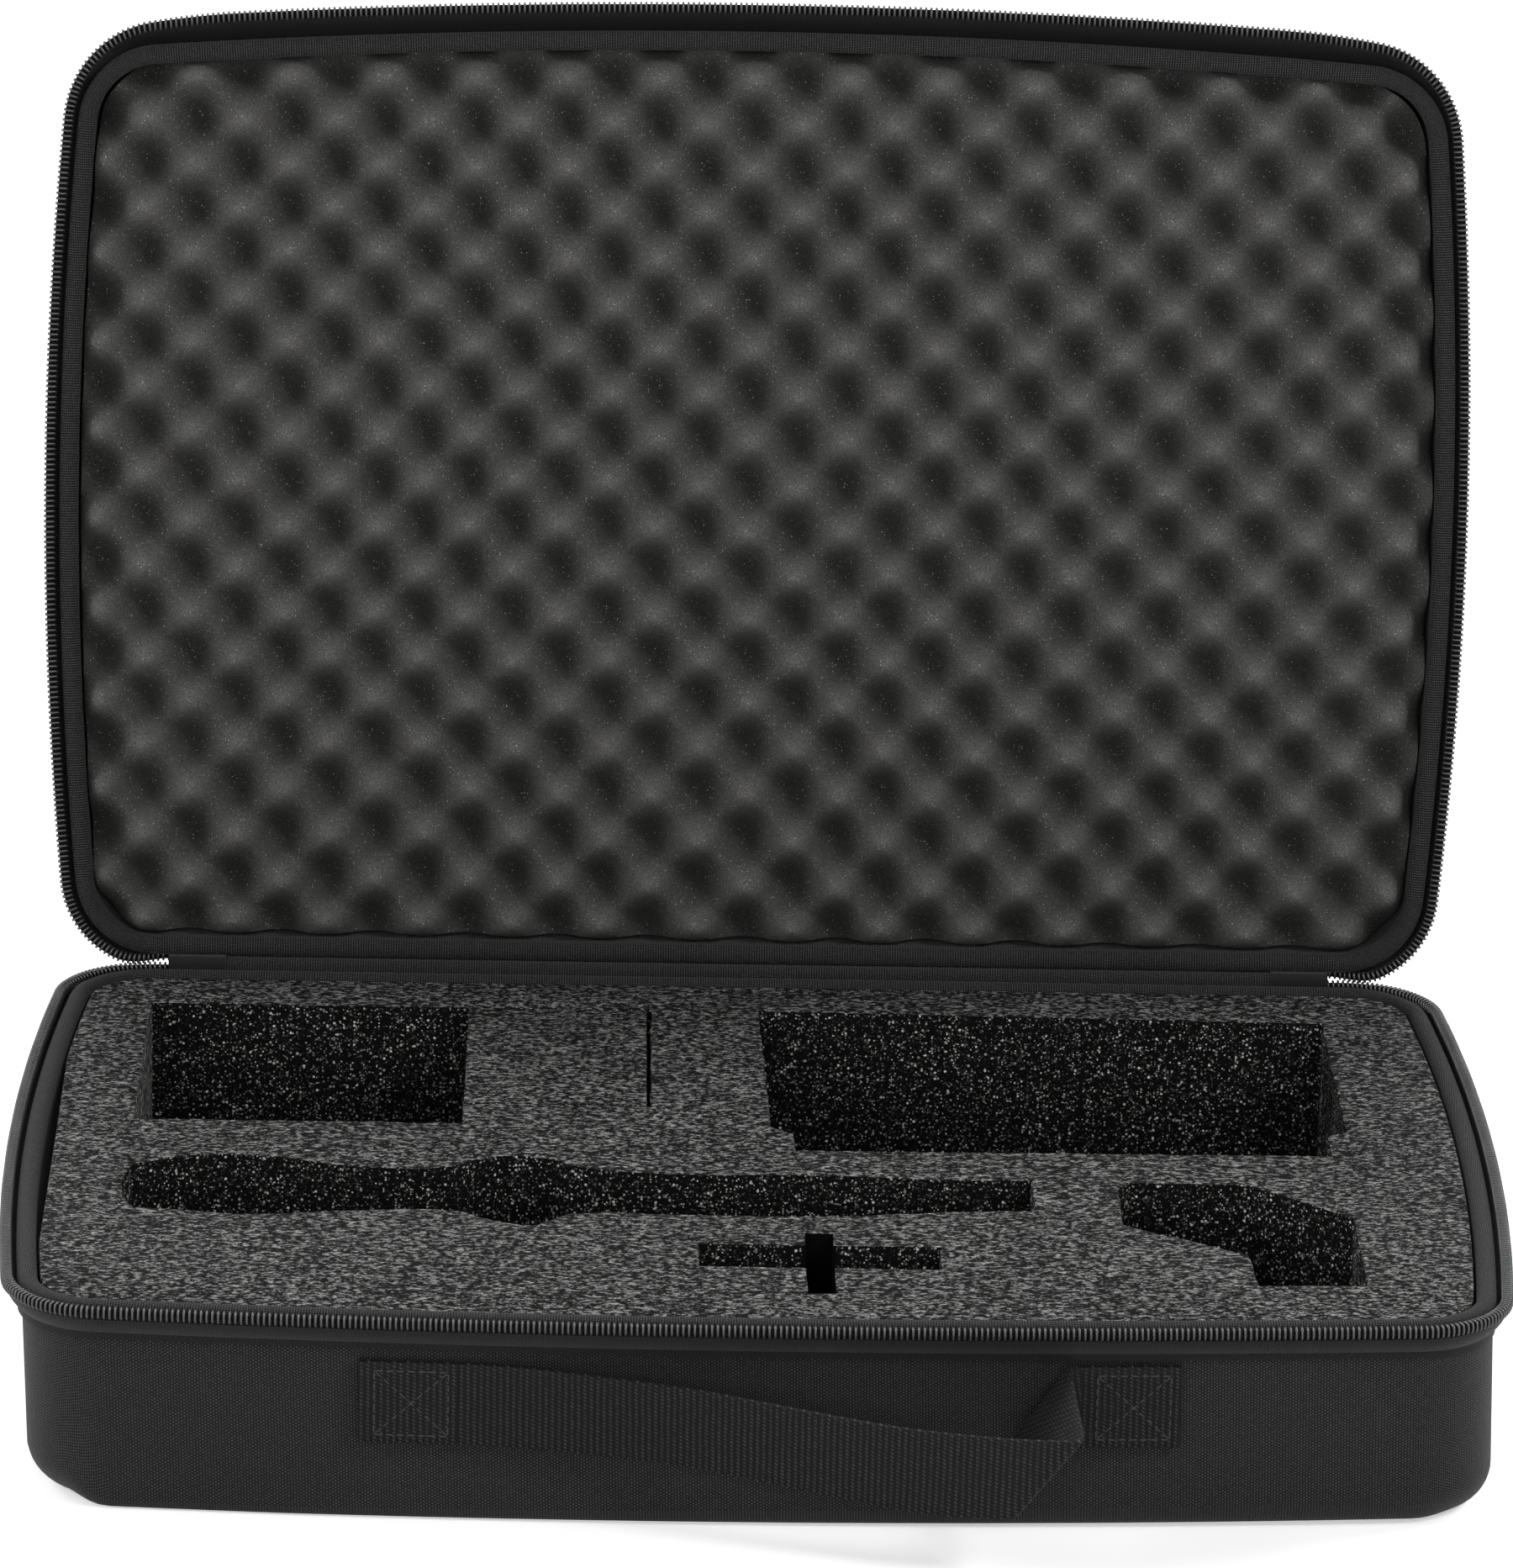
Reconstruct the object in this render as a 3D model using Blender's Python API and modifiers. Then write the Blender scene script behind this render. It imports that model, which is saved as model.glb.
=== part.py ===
"""A soft-sided microphone case, standing open on its base.

Two shells moulded from fabric-covered foam board meet at a closing plane. Each rim is bound
in ribbed tape and carries one half of a two-way coil zip, and a cloth strip along the back
joins them. The base holds a die-cut foam insert over a pad, and the lid an egg-crate foam.

Metres, +Z up. The origin is the centre of the flat underside and -Y is the handle side.
"""

from math import acos, atan2, cos, pi, radians, sin, sqrt

import bmesh
import bpy
from mathutils import Matrix, Vector

# Overall form, over the outer edges of the zip. The back is straight, the rest is bowed.
case_width = 0.450
case_depth = 0.306
base_height = 0.065
lid_height = 0.042
side_bow = 0.0087
front_bow = 0.0100
corner_radius = 0.031
base_fillet = 0.020
lid_fillet = 0.018
lid_open = radians(99.2)

# Shells, their binding and the clearances
wall = 0.0038
fit_gap = 0.0003
rim_drop = 0.0006
binding_cloth = 0.0007
binding_depth = 0.0065
binding_crown_share = 1.3
cut_overrun = 0.004

# Zip: coil, tape, end stops
coil_radius = 0.0019
coil_drop = 0.0002
coil_groove = 0.0012
tape_cloth = 0.0007
tape_drop = 0.0115
tape_sewn = 0.0020
zip_end_margin = 0.0545
stop_length = 0.0024

# Slider and puller
slider_length = 0.0115
slider_plate = 0.0011
slider_inner_plate = 0.0006
slider_roof = 0.0008
slider_skirt = 0.0076
slider_inner_skirt = 0.0058
bail_length = 0.0076
bail_wire = 0.0009
bail_width = 0.0014
bail_room = 0.0015
puller_length = 0.0190
puller_width = 0.0050
puller_sheet = 0.0006
puller_bar = 0.0010
puller_drop = 0.0046

# Cloth hinge strip along the back
hinge_set_back = 0.0032
hinge_cloth = 0.0009
hinge_leg = 0.013
hinge_end_gap = 0.0005

# Handle: webbing sewn down at both ends, with a backing inside the wall
webbing_width = 0.0254
webbing_sheet = 0.0016
handle_height = 0.0362
handle_left = -0.0860
handle_right = 0.0930
handle_reach = 0.0375
handle_sag = 0.0065
patch_length = 0.0290
patch_sheet = 0.0026
backing_sheet = 0.0012
backing_margin = 0.0020

# Foam
foam_drop = 0.0020
foam_side_slack = 0.0009
pad_height = 0.0100
lid_foam_slack = 0.0026
crate_pitch_x = 0.0293
crate_pitch_y = 0.0285
crate_relief = 0.0160
crate_proud = 0.0014
crate_peak_x = -0.0026
crate_peak_y = -0.1336

# Pockets cut in the insert
receiver_width = 0.0995
receiver_depth = 0.1030
filler_width = 0.0575
filler_depth = 0.0860
filler_slit = 0.0012
gear_width = 0.1780
gear_depth = 0.1230
microphone_length = 0.2700
microphone_width = 0.0580
cross_bar_length = 0.0710
cross_bar_width = 0.0175
cross_slot_length = 0.0475
cross_slot_width = 0.0080
clip_width = 0.0690
clip_depth = 0.0820

# Places of the pockets, as shares of the half width and half depth of the case
receiver_place_shares = (-0.836, 0.774)
gear_place_shares = (0.013, 0.780)
microphone_place_shares = (-0.831, -0.268)
cross_place_shares = (0.082, -0.597)
cross_slot_shift_share = -0.11
clip_place_shares = (0.484, -0.178)

# Divisions of the rim
front_steps = 5
corner_steps = 8
side_steps = 5
fillet_steps = 5
fold_steps = 6
strap_steps = 48
back_point_shares = (0.5, 0, -0.5)

half_width = case_width / 2
half_depth = case_depth / 2
zip_end = half_width - zip_end_margin
closing = base_height
wall_inset = coil_groove + 2 * coil_radius + binding_cloth + fit_gap
inner_inset = wall_inset + wall
shell_top = rim_drop + binding_cloth + fit_gap
back_y = half_depth - wall_inset
hinge_y = back_y + hinge_set_back


def clear_scene():
    for old in list(bpy.data.objects):
        bpy.data.objects.remove(old, do_unlink=True)


clear_scene()
case_parts = bpy.data.collections.new("microphone_case")
cutters = bpy.data.collections.new("cutters")
bpy.context.scene.collection.children.link(case_parts)
bpy.context.scene.collection.children.link(cutters)


def finish(name, colour, roughness, metallic=0.0):
    material = bpy.data.materials.new(name)
    material.use_nodes = True
    shader = material.node_tree.nodes["Principled BSDF"]
    shader.inputs["Base Color"].default_value = (*colour, 1.0)
    shader.inputs["Roughness"].default_value = roughness
    shader.inputs["Metallic"].default_value = metallic
    return material


def place(obj, parent=None):
    """Hangs a piece on an empty. Its mesh is drawn in the closed case's own coordinates."""
    if parent:
        obj.parent = parent
        obj.location = -Vector(parent["rest"])
    return obj


def add_object(name, mesh, material=None, parent=None, cutter=False):
    obj = bpy.data.objects.new(name, mesh)
    (cutters if cutter else case_parts).objects.link(obj)
    if material:
        mesh.materials.append(material)
    if cutter:
        obj.hide_render = True
        obj.display_type = "WIRE"
    return place(obj, parent)


def add_axis(name, position, turn=0.0):
    """An empty on a joint's axis, turned about X."""
    axis = bpy.data.objects.new(name, None)
    axis.empty_display_size = coil_radius
    axis.location = position
    axis.rotation_euler = (turn, 0, 0)
    axis["rest"] = position
    case_parts.objects.link(axis)
    return axis


def close_mesh(bm, name):
    bmesh.ops.recalc_face_normals(bm, faces=bm.faces)
    mesh = bpy.data.meshes.new(name)
    bm.to_mesh(mesh)
    bm.free()
    return mesh


def skin(name, rings, closed=False):
    """A solid through rings of equal count: capped at both ends, or closed on itself."""
    bm = bmesh.new()
    rows = [[bm.verts.new(point) for point in ring] for ring in rings]
    pairs = list(zip(rows, rows[1:]))
    if closed:
        pairs.append((rows[-1], rows[0]))
    for near, far in pairs:
        for i in range(len(near)):
            j = (i + 1) % len(near)
            bm.faces.new((near[i], near[j], far[j], far[i]))
    if not closed:
        bm.faces.new(rows[0])
        bm.faces.new(rows[-1])
    return close_mesh(bm, name)


def prism(name, outline, low, high):
    bm = bmesh.new()
    face = bm.faces.new([bm.verts.new((x, y, low)) for x, y in outline])
    grown = bmesh.ops.extrude_face_region(bm, geom=[face])["geom"]
    tops = [item for item in grown if isinstance(item, bmesh.types.BMVert)]
    bmesh.ops.translate(bm, vec=(0, 0, high - low), verts=tops)
    return close_mesh(bm, name)


def block(name, low, high):
    """A box between two corners."""
    bm = bmesh.new()
    bmesh.ops.create_cube(bm, size=1)
    size = Vector(high) - Vector(low)
    bmesh.ops.scale(bm, vec=size, verts=bm.verts)
    bmesh.ops.translate(bm, vec=Vector(low) + size / 2, verts=bm.verts)
    return close_mesh(bm, name)


def cut(obj, cutter, operation="DIFFERENCE"):
    boolean = obj.modifiers.new(cutter.name, "BOOLEAN")
    boolean.operation = operation
    boolean.solver = "EXACT"
    boolean.object = cutter


def round_edges(obj, width, segments=2):
    bevel = obj.modifiers.new("rounded", "BEVEL")
    bevel.width = width
    bevel.segments = segments
    bevel.limit_method = "ANGLE"


# The rim outline: one family of parallel curves, named by how far each lies inside the zip's
# outer edge. The right half runs from the front centre to the back corner.
side_radius = (half_depth**2 + side_bow**2) / (2 * side_bow)
front_radius = (half_width**2 + front_bow**2) / (2 * front_bow)
side_centre = Vector((half_width - side_radius, 0))
front_centre = Vector((0, front_radius - half_depth))


def corner_between(first, first_reach, second, second_reach):
    """The front right crossing of two circles, where a corner arc is centred."""
    line = second - first
    span = line.length
    along = (first_reach**2 - second_reach**2 + span**2) / (2 * span)
    across = sqrt(first_reach**2 - along**2)
    foot = first + line * (along / span)
    step = Vector((-line.y, line.x)) * (across / span)
    return max(foot + step, foot - step, key=lambda point: point.x - point.y)


front_corner = corner_between(
    front_centre, front_radius - corner_radius, side_centre, side_radius - corner_radius
)
back_corner_y = half_depth - corner_radius
back_corner = Vector(
    (side_centre.x + sqrt((side_radius - corner_radius) ** 2 - back_corner_y**2), back_corner_y)
)


def heading(centre, point):
    return atan2(point.y - centre.y, point.x - centre.x)


front_end = heading(front_centre, front_corner)
side_start = heading(side_centre, front_corner)
side_end = heading(side_centre, back_corner)


def right_half(inset, last=pi / 2):
    runs = (
        (front_centre, front_radius, -pi / 2, front_end, front_steps),
        (front_corner, corner_radius, front_end, side_start, corner_steps),
        (side_centre, side_radius, side_start, side_end, side_steps),
        (back_corner, corner_radius, side_end, last, corner_steps),
    )
    points = [(0, -half_depth + inset)]
    for centre, radius, start, end, steps in runs:
        for i in range(1, steps + 1):
            angle = start + (end - start) * i / steps
            reach = radius - inset
            points.append((centre.x + reach * cos(angle), centre.y + reach * sin(angle)))
    return points


def mirrored(points):
    return [(-x, y) for x, y in reversed(points)]


def loop(inset):
    """The whole outline, anticlockwise from the front centre."""
    right = right_half(inset)
    back = [(back_corner.x * share, half_depth - inset) for share in back_point_shares]
    return right + back + mirrored(right[1:])


def base_zip_path(inset):
    """From the left end of the zip round the front to its right end."""
    right = right_half(inset)
    end = (zip_end, half_depth - inset)
    return mirrored([*right, end]) + [*right[1:], end]


# The lid's half of the zip ends in the corner, where it still clears the hinge axis.
lid_zip_last = pi / 2 - acos(1 - (half_depth - hinge_y + fit_gap) / corner_radius)


def lid_zip_path(inset):
    right = right_half(inset, lid_zip_last)
    return mirrored(right) + right[1:]


def front_wall_y(x, inset):
    return front_centre.y - sqrt((front_radius - inset) ** 2 - x**2)


def stacked(name, section, side):
    """Loops stacked one above another, from pairs of inset and depth off the closing plane."""
    rings = [[(x, y, closing + side * depth) for x, y in loop(inset)] for inset, depth in section]
    return skin(name, rings)


def swept(name, section, side, path, closed=False):
    """A section carried along the rim, from pairs of inset and depth off the closing plane."""
    rails = [[(x, y, closing + side * depth) for x, y in path(inset)] for inset, depth in section]
    return skin(name, list(zip(*rails)), closed)


BASE, LID = -1, 1
lid_axis = add_axis("lid_hinge_axis", (0, hinge_y, closing), -lid_open)

shell_cloth = finish("shell_cloth", (0.018, 0.019, 0.020), 0.85)
binding_tape = finish("binding_tape", (0.014, 0.014, 0.015), 0.80)
zip_cloth = finish("zip_cloth", (0.016, 0.016, 0.017), 0.85)
zip_coil = finish("zip_coil", (0.045, 0.046, 0.048), 0.35)
slider_metal = finish("slider_metal", (0.020, 0.020, 0.022), 0.30, 0.8)
webbing = finish("webbing", (0.012, 0.012, 0.013), 0.70)
insert_foam = finish("insert_foam", (0.075, 0.076, 0.078), 0.80)
crate_foam = finish("crate_foam", (0.045, 0.044, 0.042), 0.95)


# Shells: a flat panel, a round lower edge and an upright wall, moulded in one
def shell_section(height, fillet):
    inner = fillet - wall
    turns = [pi / 2 * i / fillet_steps for i in range(fillet_steps + 1)]
    centre_inset = wall_inset + fillet
    centre_depth = height - fillet
    outside = [(centre_inset - fillet * sin(a), centre_depth + fillet * cos(a)) for a in turns]
    inside = [(centre_inset - inner * sin(a), centre_depth + inner * cos(a)) for a in reversed(turns)]
    return [*outside, (wall_inset, shell_top), (inner_inset, shell_top), *inside]


base_shell = add_object(
    "base_shell", stacked("base_shell", shell_section(base_height, base_fillet), BASE), shell_cloth
)
lid_shell = add_object(
    "lid_shell", stacked("lid_shell", shell_section(lid_height, lid_fillet), LID), shell_cloth, lid_axis
)


# Bindings: ribbed tape folded over each rim, round on top
def binding_section():
    outer = wall_inset - fit_gap - binding_cloth
    inner = inner_inset + fit_gap + binding_cloth
    bottom = rim_drop + binding_depth
    middle = (outer + inner) / 2
    reach = (inner - outer) / 2
    crown = binding_crown_share * binding_cloth
    arc = [pi * i / fold_steps for i in range(fold_steps + 1)]
    over = [(middle - reach * cos(a), rim_drop + crown * (1 - sin(a))) for a in arc]
    hollow = shell_top - fit_gap
    return [
        (outer, bottom),
        *over,
        (inner, bottom),
        (inner - binding_cloth, bottom),
        (inner - binding_cloth, hollow),
        (outer + binding_cloth, hollow),
        (outer + binding_cloth, bottom),
    ]


for name, side, parent in (("base_rim_binding", BASE, None), ("lid_rim_binding", LID, lid_axis)):
    add_object(name, swept(name, binding_section(), side, loop, True), binding_tape, parent)

# Zip tape: sewn to the wall below the binding, leaning out to carry the coil
tape_inner = wall_inset - fit_gap
tape_top = coil_drop + 2 * coil_radius + fit_gap
tape_section = [
    (tape_inner, tape_drop),
    (tape_inner, tape_drop - tape_sewn),
    (coil_radius + tape_cloth / 2, tape_top),
    (coil_radius - tape_cloth / 2, tape_top),
    (tape_inner - tape_cloth, tape_drop - tape_sewn),
    (tape_inner - tape_cloth, tape_drop),
]
for name, side, path, parent in (
    ("base_zip_tape", BASE, base_zip_path, None),
    ("lid_zip_tape", LID, lid_zip_path, lid_axis),
):
    add_object(name, swept(name, tape_section, side, path), zip_cloth, parent)


# Zip coil: a round bead along the tape's edge
def bead(name, path, side, parent):
    curve = bpy.data.curves.new(name, "CURVE")
    curve.dimensions = "3D"
    curve.bevel_depth = coil_radius
    curve.bevel_resolution = 2
    curve.use_fill_caps = True
    points = path(coil_radius)
    spline = curve.splines.new("POLY")
    spline.points.add(len(points) - 1)
    depth = coil_drop + coil_radius
    for point, (x, y) in zip(spline.points, points):
        point.co = (x, y, closing + side * depth, 1)
    curve.materials.append(zip_coil)
    obj = bpy.data.objects.new(name, curve)
    case_parts.objects.link(obj)
    return place(obj, parent)


bead("base_zip_coil", base_zip_path, BASE, None)
bead("lid_zip_coil", lid_zip_path, LID, lid_axis)


# End stops, sliders and pullers, left and right on the straight back run of the base's coil
def back_y_at(inset):
    return half_depth - inset


coil_depth = coil_drop + coil_radius
inner_plate_inset = 2 * coil_radius + fit_gap
roof_low = coil_drop - fit_gap
pivot_y = half_depth + fit_gap + slider_plate + bail_room / 2


def slider_body(name, centre_x, material, axis):
    """A channel over the coil: outer plate, roof and a thin inner plate, with a bail outside."""
    outer = -fit_gap
    profile = [
        (outer - slider_plate, roof_low - slider_roof),
        (inner_plate_inset + slider_inner_plate, roof_low - slider_roof),
        (inner_plate_inset + slider_inner_plate, slider_inner_skirt),
        (inner_plate_inset, slider_inner_skirt),
        (inner_plate_inset, roof_low),
        (outer, roof_low),
        (outer, slider_skirt),
        (outer - slider_plate, slider_skirt),
    ]
    half = slider_length / 2
    rings = [
        [(centre_x + end * half, back_y_at(inset), closing - depth) for inset, depth in profile]
        for end in (-1, 1)
    ]
    body = add_object(name, skin(name, rings), material, axis)
    tall = bail_length / 2
    root = slider_plate / 2
    reach = slider_plate + fit_gap + bail_room + bail_wire
    foot_y = half_depth + fit_gap + slider_plate
    arch = [
        (-tall, -root),
        (-tall, bail_room + bail_wire / 2),
        (-tall + bail_wire, bail_room + bail_wire),
        (tall - bail_wire, bail_room + bail_wire),
        (tall, bail_room + bail_wire / 2),
        (tall, -root),
        (tall - bail_wire, -root),
        (tall - bail_wire, bail_room),
        (-tall + bail_wire, bail_room),
        (-tall + bail_wire, -root),
    ]
    middle = closing - puller_drop
    outline = [(centre_x + x, foot_y + y) for x, y in arch]
    bail = add_object(
        name + "_bail",
        prism(name + "_bail", outline, middle - bail_width / 2, middle + bail_width / 2),
        parent=axis,
        cutter=True,
    )
    cut(body, bail, "UNION")
    return body


def puller_tab(name, pivot_x, way, material, axis):
    """A flat tab whose slotted end is threaded on the bail. It lies towards the case's middle."""
    middle = closing - puller_drop
    slim = puller_width / 2 - puller_sheet
    wide = puller_width / 2
    near = -puller_bar / 2
    outline = [
        (near, -slim),
        (bail_length, -slim),
        (bail_length + puller_width / 2, -wide),
        (puller_length - wide, -wide),
        (puller_length, -wide / 2),
        (puller_length, wide / 2),
        (puller_length - wide, wide),
        (bail_length + puller_width / 2, wide),
        (bail_length, slim),
        (near, slim),
    ]
    low = pivot_y - puller_sheet / 2
    high = pivot_y + puller_sheet / 2
    turn = Matrix(((way, 0, 0), (0, 0, 1), (0, 1, 0)))
    shift = Vector((pivot_x, 0, middle))

    def stood(points, y):
        return [turn @ Vector((x, z, y)) + shift for x, z in points]

    tab = add_object(name, skin(name, [stood(outline, low), stood(outline, high)]), material, axis)
    slot_half = bail_width / 2 + fit_gap
    slot = [
        (puller_bar / 2, -slot_half),
        (bail_length - puller_bar / 2, -slot_half),
        (bail_length - puller_bar / 2, slot_half),
        (puller_bar / 2, slot_half),
    ]
    over = puller_sheet
    window = skin(name + "_slot", [stood(slot, low - over), stood(slot, high + over)])
    cut(tab, add_object(name + "_slot", window, parent=axis, cutter=True))
    return tab


for word, hand in (("left", -1), ("right", 1)):
    stop_start = zip_end - fit_gap
    stop_left, stop_right = sorted((hand * stop_start, hand * (stop_start - stop_length)))
    low = (stop_left, back_y_at(inner_plate_inset), closing - tape_top)
    high = (stop_right, back_y_at(-fit_gap), closing - coil_drop)
    stop = add_object("zip_stop_" + word, block("zip_stop_" + word, low, high), slider_metal)
    round_edges(stop, coil_drop)
    slider_x = hand * (zip_end + slider_length / 2 + fit_gap)
    slider_axis = add_axis("slider_axis_" + word, (slider_x, half_depth, closing))
    slider_body("zip_slider_" + word, slider_x, slider_metal, slider_axis)
    puller_axis = add_axis("puller_axis_" + word, (slider_x, pivot_y, closing - puller_drop))
    puller_tab("zip_puller_" + word, slider_x, -hand, slider_metal, puller_axis)

# Hinge strip: cloth sewn over both back walls, bent round the hinge axis while the lid is open
strip_outer_radius = hinge_y - (back_y + fit_gap + binding_cloth + fit_gap)
strip_inner_radius = strip_outer_radius - hinge_cloth


def strip_line(radius):
    bend = [pi - lid_open * i / fold_steps for i in range(fold_steps + 1)]
    arc = [Vector((radius * cos(a), radius * sin(a))) for a in bend]
    lead_in = Vector((-radius, -hinge_leg))
    way = Vector((sin(bend[-1]), -cos(bend[-1])))
    return [lead_in, *arc, arc[-1] + way * hinge_leg]


strip_section = strip_line(strip_outer_radius) + strip_line(strip_inner_radius)[::-1]
strip_half = zip_end - stop_length - 2 * hinge_end_gap
strip_rings = [
    [(end * strip_half, hinge_y + p.x, closing + p.y) for p in strip_section] for end in (-1, 1)
]
add_object("hinge_strip", skin("hinge_strip", strip_rings), binding_tape)


# Handle: the two sewn ends, their backings inside the wall, and the free strap between them
def wall_pad(name, left, right, low, high, near_inset, far_inset, material):
    """A flat patch that follows the bow of the front wall."""
    steps = 4
    rings = []
    for i in range(steps + 1):
        x = left + (right - left) * i / steps
        near = front_wall_y(x, near_inset)
        far = front_wall_y(x, far_inset)
        rings.append([(x, near, low), (x, far, low), (x, far, high), (x, near, high)])
    return add_object(name, skin(name, rings), material)


webbing_low = handle_height - webbing_width / 2
webbing_high = handle_height + webbing_width / 2
patch_face = wall_inset - fit_gap
for word, edge, way in (("left", handle_left, -1), ("right", handle_right, 1)):
    ends = sorted((edge + way * fit_gap, edge + way * patch_length))
    wall_pad(
        "handle_end_" + word,
        *ends,
        webbing_low,
        webbing_high,
        patch_face - patch_sheet,
        patch_face,
        webbing,
    )
    wall_pad(
        "handle_backing_" + word,
        ends[0] - backing_margin,
        ends[1] + backing_margin,
        webbing_low - backing_margin,
        webbing_high + backing_margin,
        inner_inset + fit_gap,
        inner_inset + fit_gap + backing_sheet,
        webbing,
    )

# Stations of the strap: share of its span, of its reach and of its sag, and its lean in degrees
strap_shares = (
    (0.00, 0.000, 0.00, 0),
    (0.14, 0.080, 0.02, 0),
    (0.34, 0.290, 0.10, 0),
    (0.54, 0.530, 0.45, 2),
    (0.71, 0.770, 0.85, 6),
    (0.83, 0.920, 1.05, 18),
    (0.91, 0.985, 1.00, 30),
    (0.955, 0.930, 0.92, 37),
    (0.965, 0.740, 0.65, 37),
    (0.955, 0.450, 0.20, 37),
    (0.945, 0.220, -0.10, 32),
    (0.955, 0.060, -0.06, 18),
    (0.980, 0.005, 0.00, 3),
    (1.00, 0.000, 0.00, 0),
)


def through(stations, t):
    """A point on the smooth curve through the stations, with t running from 0 to 1."""
    last = len(stations) - 1
    k = min(int(t * last), last - 1)
    u = t * last - k
    near = [stations[min(max(k + i, 0), last)] for i in (-1, 0, 1, 2)]
    weights = (
        (-u + 2 * u**2 - u**3) / 2,
        (2 - 5 * u**2 + 3 * u**3) / 2,
        (u + 4 * u**2 - 3 * u**3) / 2,
        (-(u**2) + u**3) / 2,
    )
    return [sum(w * p[i] for w, p in zip(weights, near)) for i in range(4)]


strap_start = handle_left + fit_gap
strap_span = handle_right - handle_left - 2 * fit_gap
strap_middle = [through(strap_shares, i / strap_steps) for i in range(strap_steps + 1)]
strap_bend = []
for along, out, sag, lean in strap_middle:
    x = strap_start + strap_span * along
    wall_y = front_wall_y(x, patch_face) - patch_sheet / 2
    station = Vector((x, wall_y - handle_reach * out, handle_height - handle_sag * sag))
    strap_bend.append((station, radians(lean)))
strap_rings = []
for i, (station, lean) in enumerate(strap_bend):
    before = strap_bend[max(i - 1, 0)][0]
    after = strap_bend[min(i + 1, strap_steps)][0]
    run = (after - before).normalized()
    if i in (0, strap_steps):
        run = Vector((1, 0, 0))
    upright = Vector((sin(lean), 0, cos(lean)))
    upright = (upright - run * upright.dot(run)).normalized()
    across = run.cross(upright)
    half_tall = upright * webbing_width / 2
    half_thick = across * webbing_sheet / 2
    strap_rings.append(
        [
            station - half_tall - half_thick,
            station + half_tall - half_thick,
            station + half_tall + half_thick,
            station - half_tall + half_thick,
        ]
    )
strap_y = front_wall_y(handle_left, patch_face) - patch_sheet
handle_axis = add_axis("handle_axis", (0, strap_y, webbing_high))
add_object("handle_strap", skin("handle_strap", strap_rings), webbing, handle_axis)

# Base foam: a plain pad moulded to the shell's floor, and the thick insert on top of it
foam_top = closing - foam_drop
pad_low_depth = base_height - wall - fit_gap
pad_top_depth = pad_low_depth - pad_height


def clear_inset(depth, height, fillet):
    """How far in a foam edge lies to clear a shell's inner fillet at a depth."""
    radius = fillet - wall - fit_gap
    below = min(max(depth - (height - fillet), 0), radius)
    return wall_inset + fillet - sqrt(radius**2 - below**2)


def foam_section(near, far, inset, height, fillet, steps=5):
    """A foam edge from one depth to another: upright, then following the moulded fillet."""
    turn_in = min(max(height - fillet, near + fit_gap), far - fit_gap)
    bend = [turn_in + (far - turn_in) * sin(pi / 2 * i / steps) for i in range(steps + 1)]
    return [(max(inset, clear_inset(d, height, fillet)), d) for d in [near, *bend]]


pad_section = foam_section(pad_top_depth, pad_low_depth, inner_inset, base_height, base_fillet)
add_object("foam_base_pad", stacked("foam_base_pad", pad_section, BASE), insert_foam)

insert_inset = inner_inset + backing_sheet + 2 * fit_gap
insert_low_depth = pad_top_depth - fit_gap


def insert_loop(inset, depth):
    squeeze = 1 - foam_side_slack / half_width
    return [(x * squeeze, y, closing - depth) for x, y in loop(inset)]


insert_section = foam_section(foam_drop, insert_low_depth, insert_inset, base_height, base_fillet, 1)
insert_rings = [insert_loop(inset, depth) for inset, depth in insert_section]
foam_insert = add_object("foam_insert", skin("foam_insert", insert_rings), insert_foam)

# Pocket outlines. The places are the back left corners, the microphone's the middle of its left
# end and the cross the middle of its bar. Shares run right and towards the front.
gear_shares = (
    (0.000, 0.000),
    (0.015, 0.840),
    (0.052, 0.885),
    (0.056, 1.000),
    (0.966, 0.985),
    (0.966, 0.845),
    (1.000, 0.815),
    (0.994, 0.030),
)
clip_shares = (
    (0.00, 0.07),
    (0.00, 0.42),
    (0.52, 0.70),
    (0.54, 1.00),
    (1.00, 0.98),
    (1.00, 0.33),
    (0.77, 0.15),
    (0.55, 0.00),
    (0.06, 0.00),
)
microphone_back_shares = (
    (0.000, 0.36),
    (0.020, 0.64),
    (0.085, 0.95),
    (0.165, 0.86),
    (0.235, 0.62),
    (0.345, 0.55),
    (0.395, 0.98),
    (0.455, 1.00),
    (0.505, 0.62),
    (0.620, 0.50),
    (0.750, 0.58),
    (0.900, 0.47),
    (1.000, 0.50),
)
microphone_front_shares = (
    (1.000, 0.35),
    (0.870, 0.46),
    (0.780, 0.62),
    (0.620, 0.62),
    (0.495, 0.56),
    (0.463, 0.88),
    (0.447, 1.00),
    (0.400, 0.86),
    (0.363, 0.54),
    (0.245, 0.62),
    (0.160, 0.78),
    (0.115, 0.78),
    (0.055, 0.63),
    (0.000, 0.50),
)


def spot(place_shares):
    return half_width * place_shares[0], half_depth * place_shares[1]


def scaled(place_shares, shares, width, depth):
    x0, y0 = spot(place_shares)
    return [(x0 + width * x, y0 - depth * y) for x, y in shares]


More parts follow.
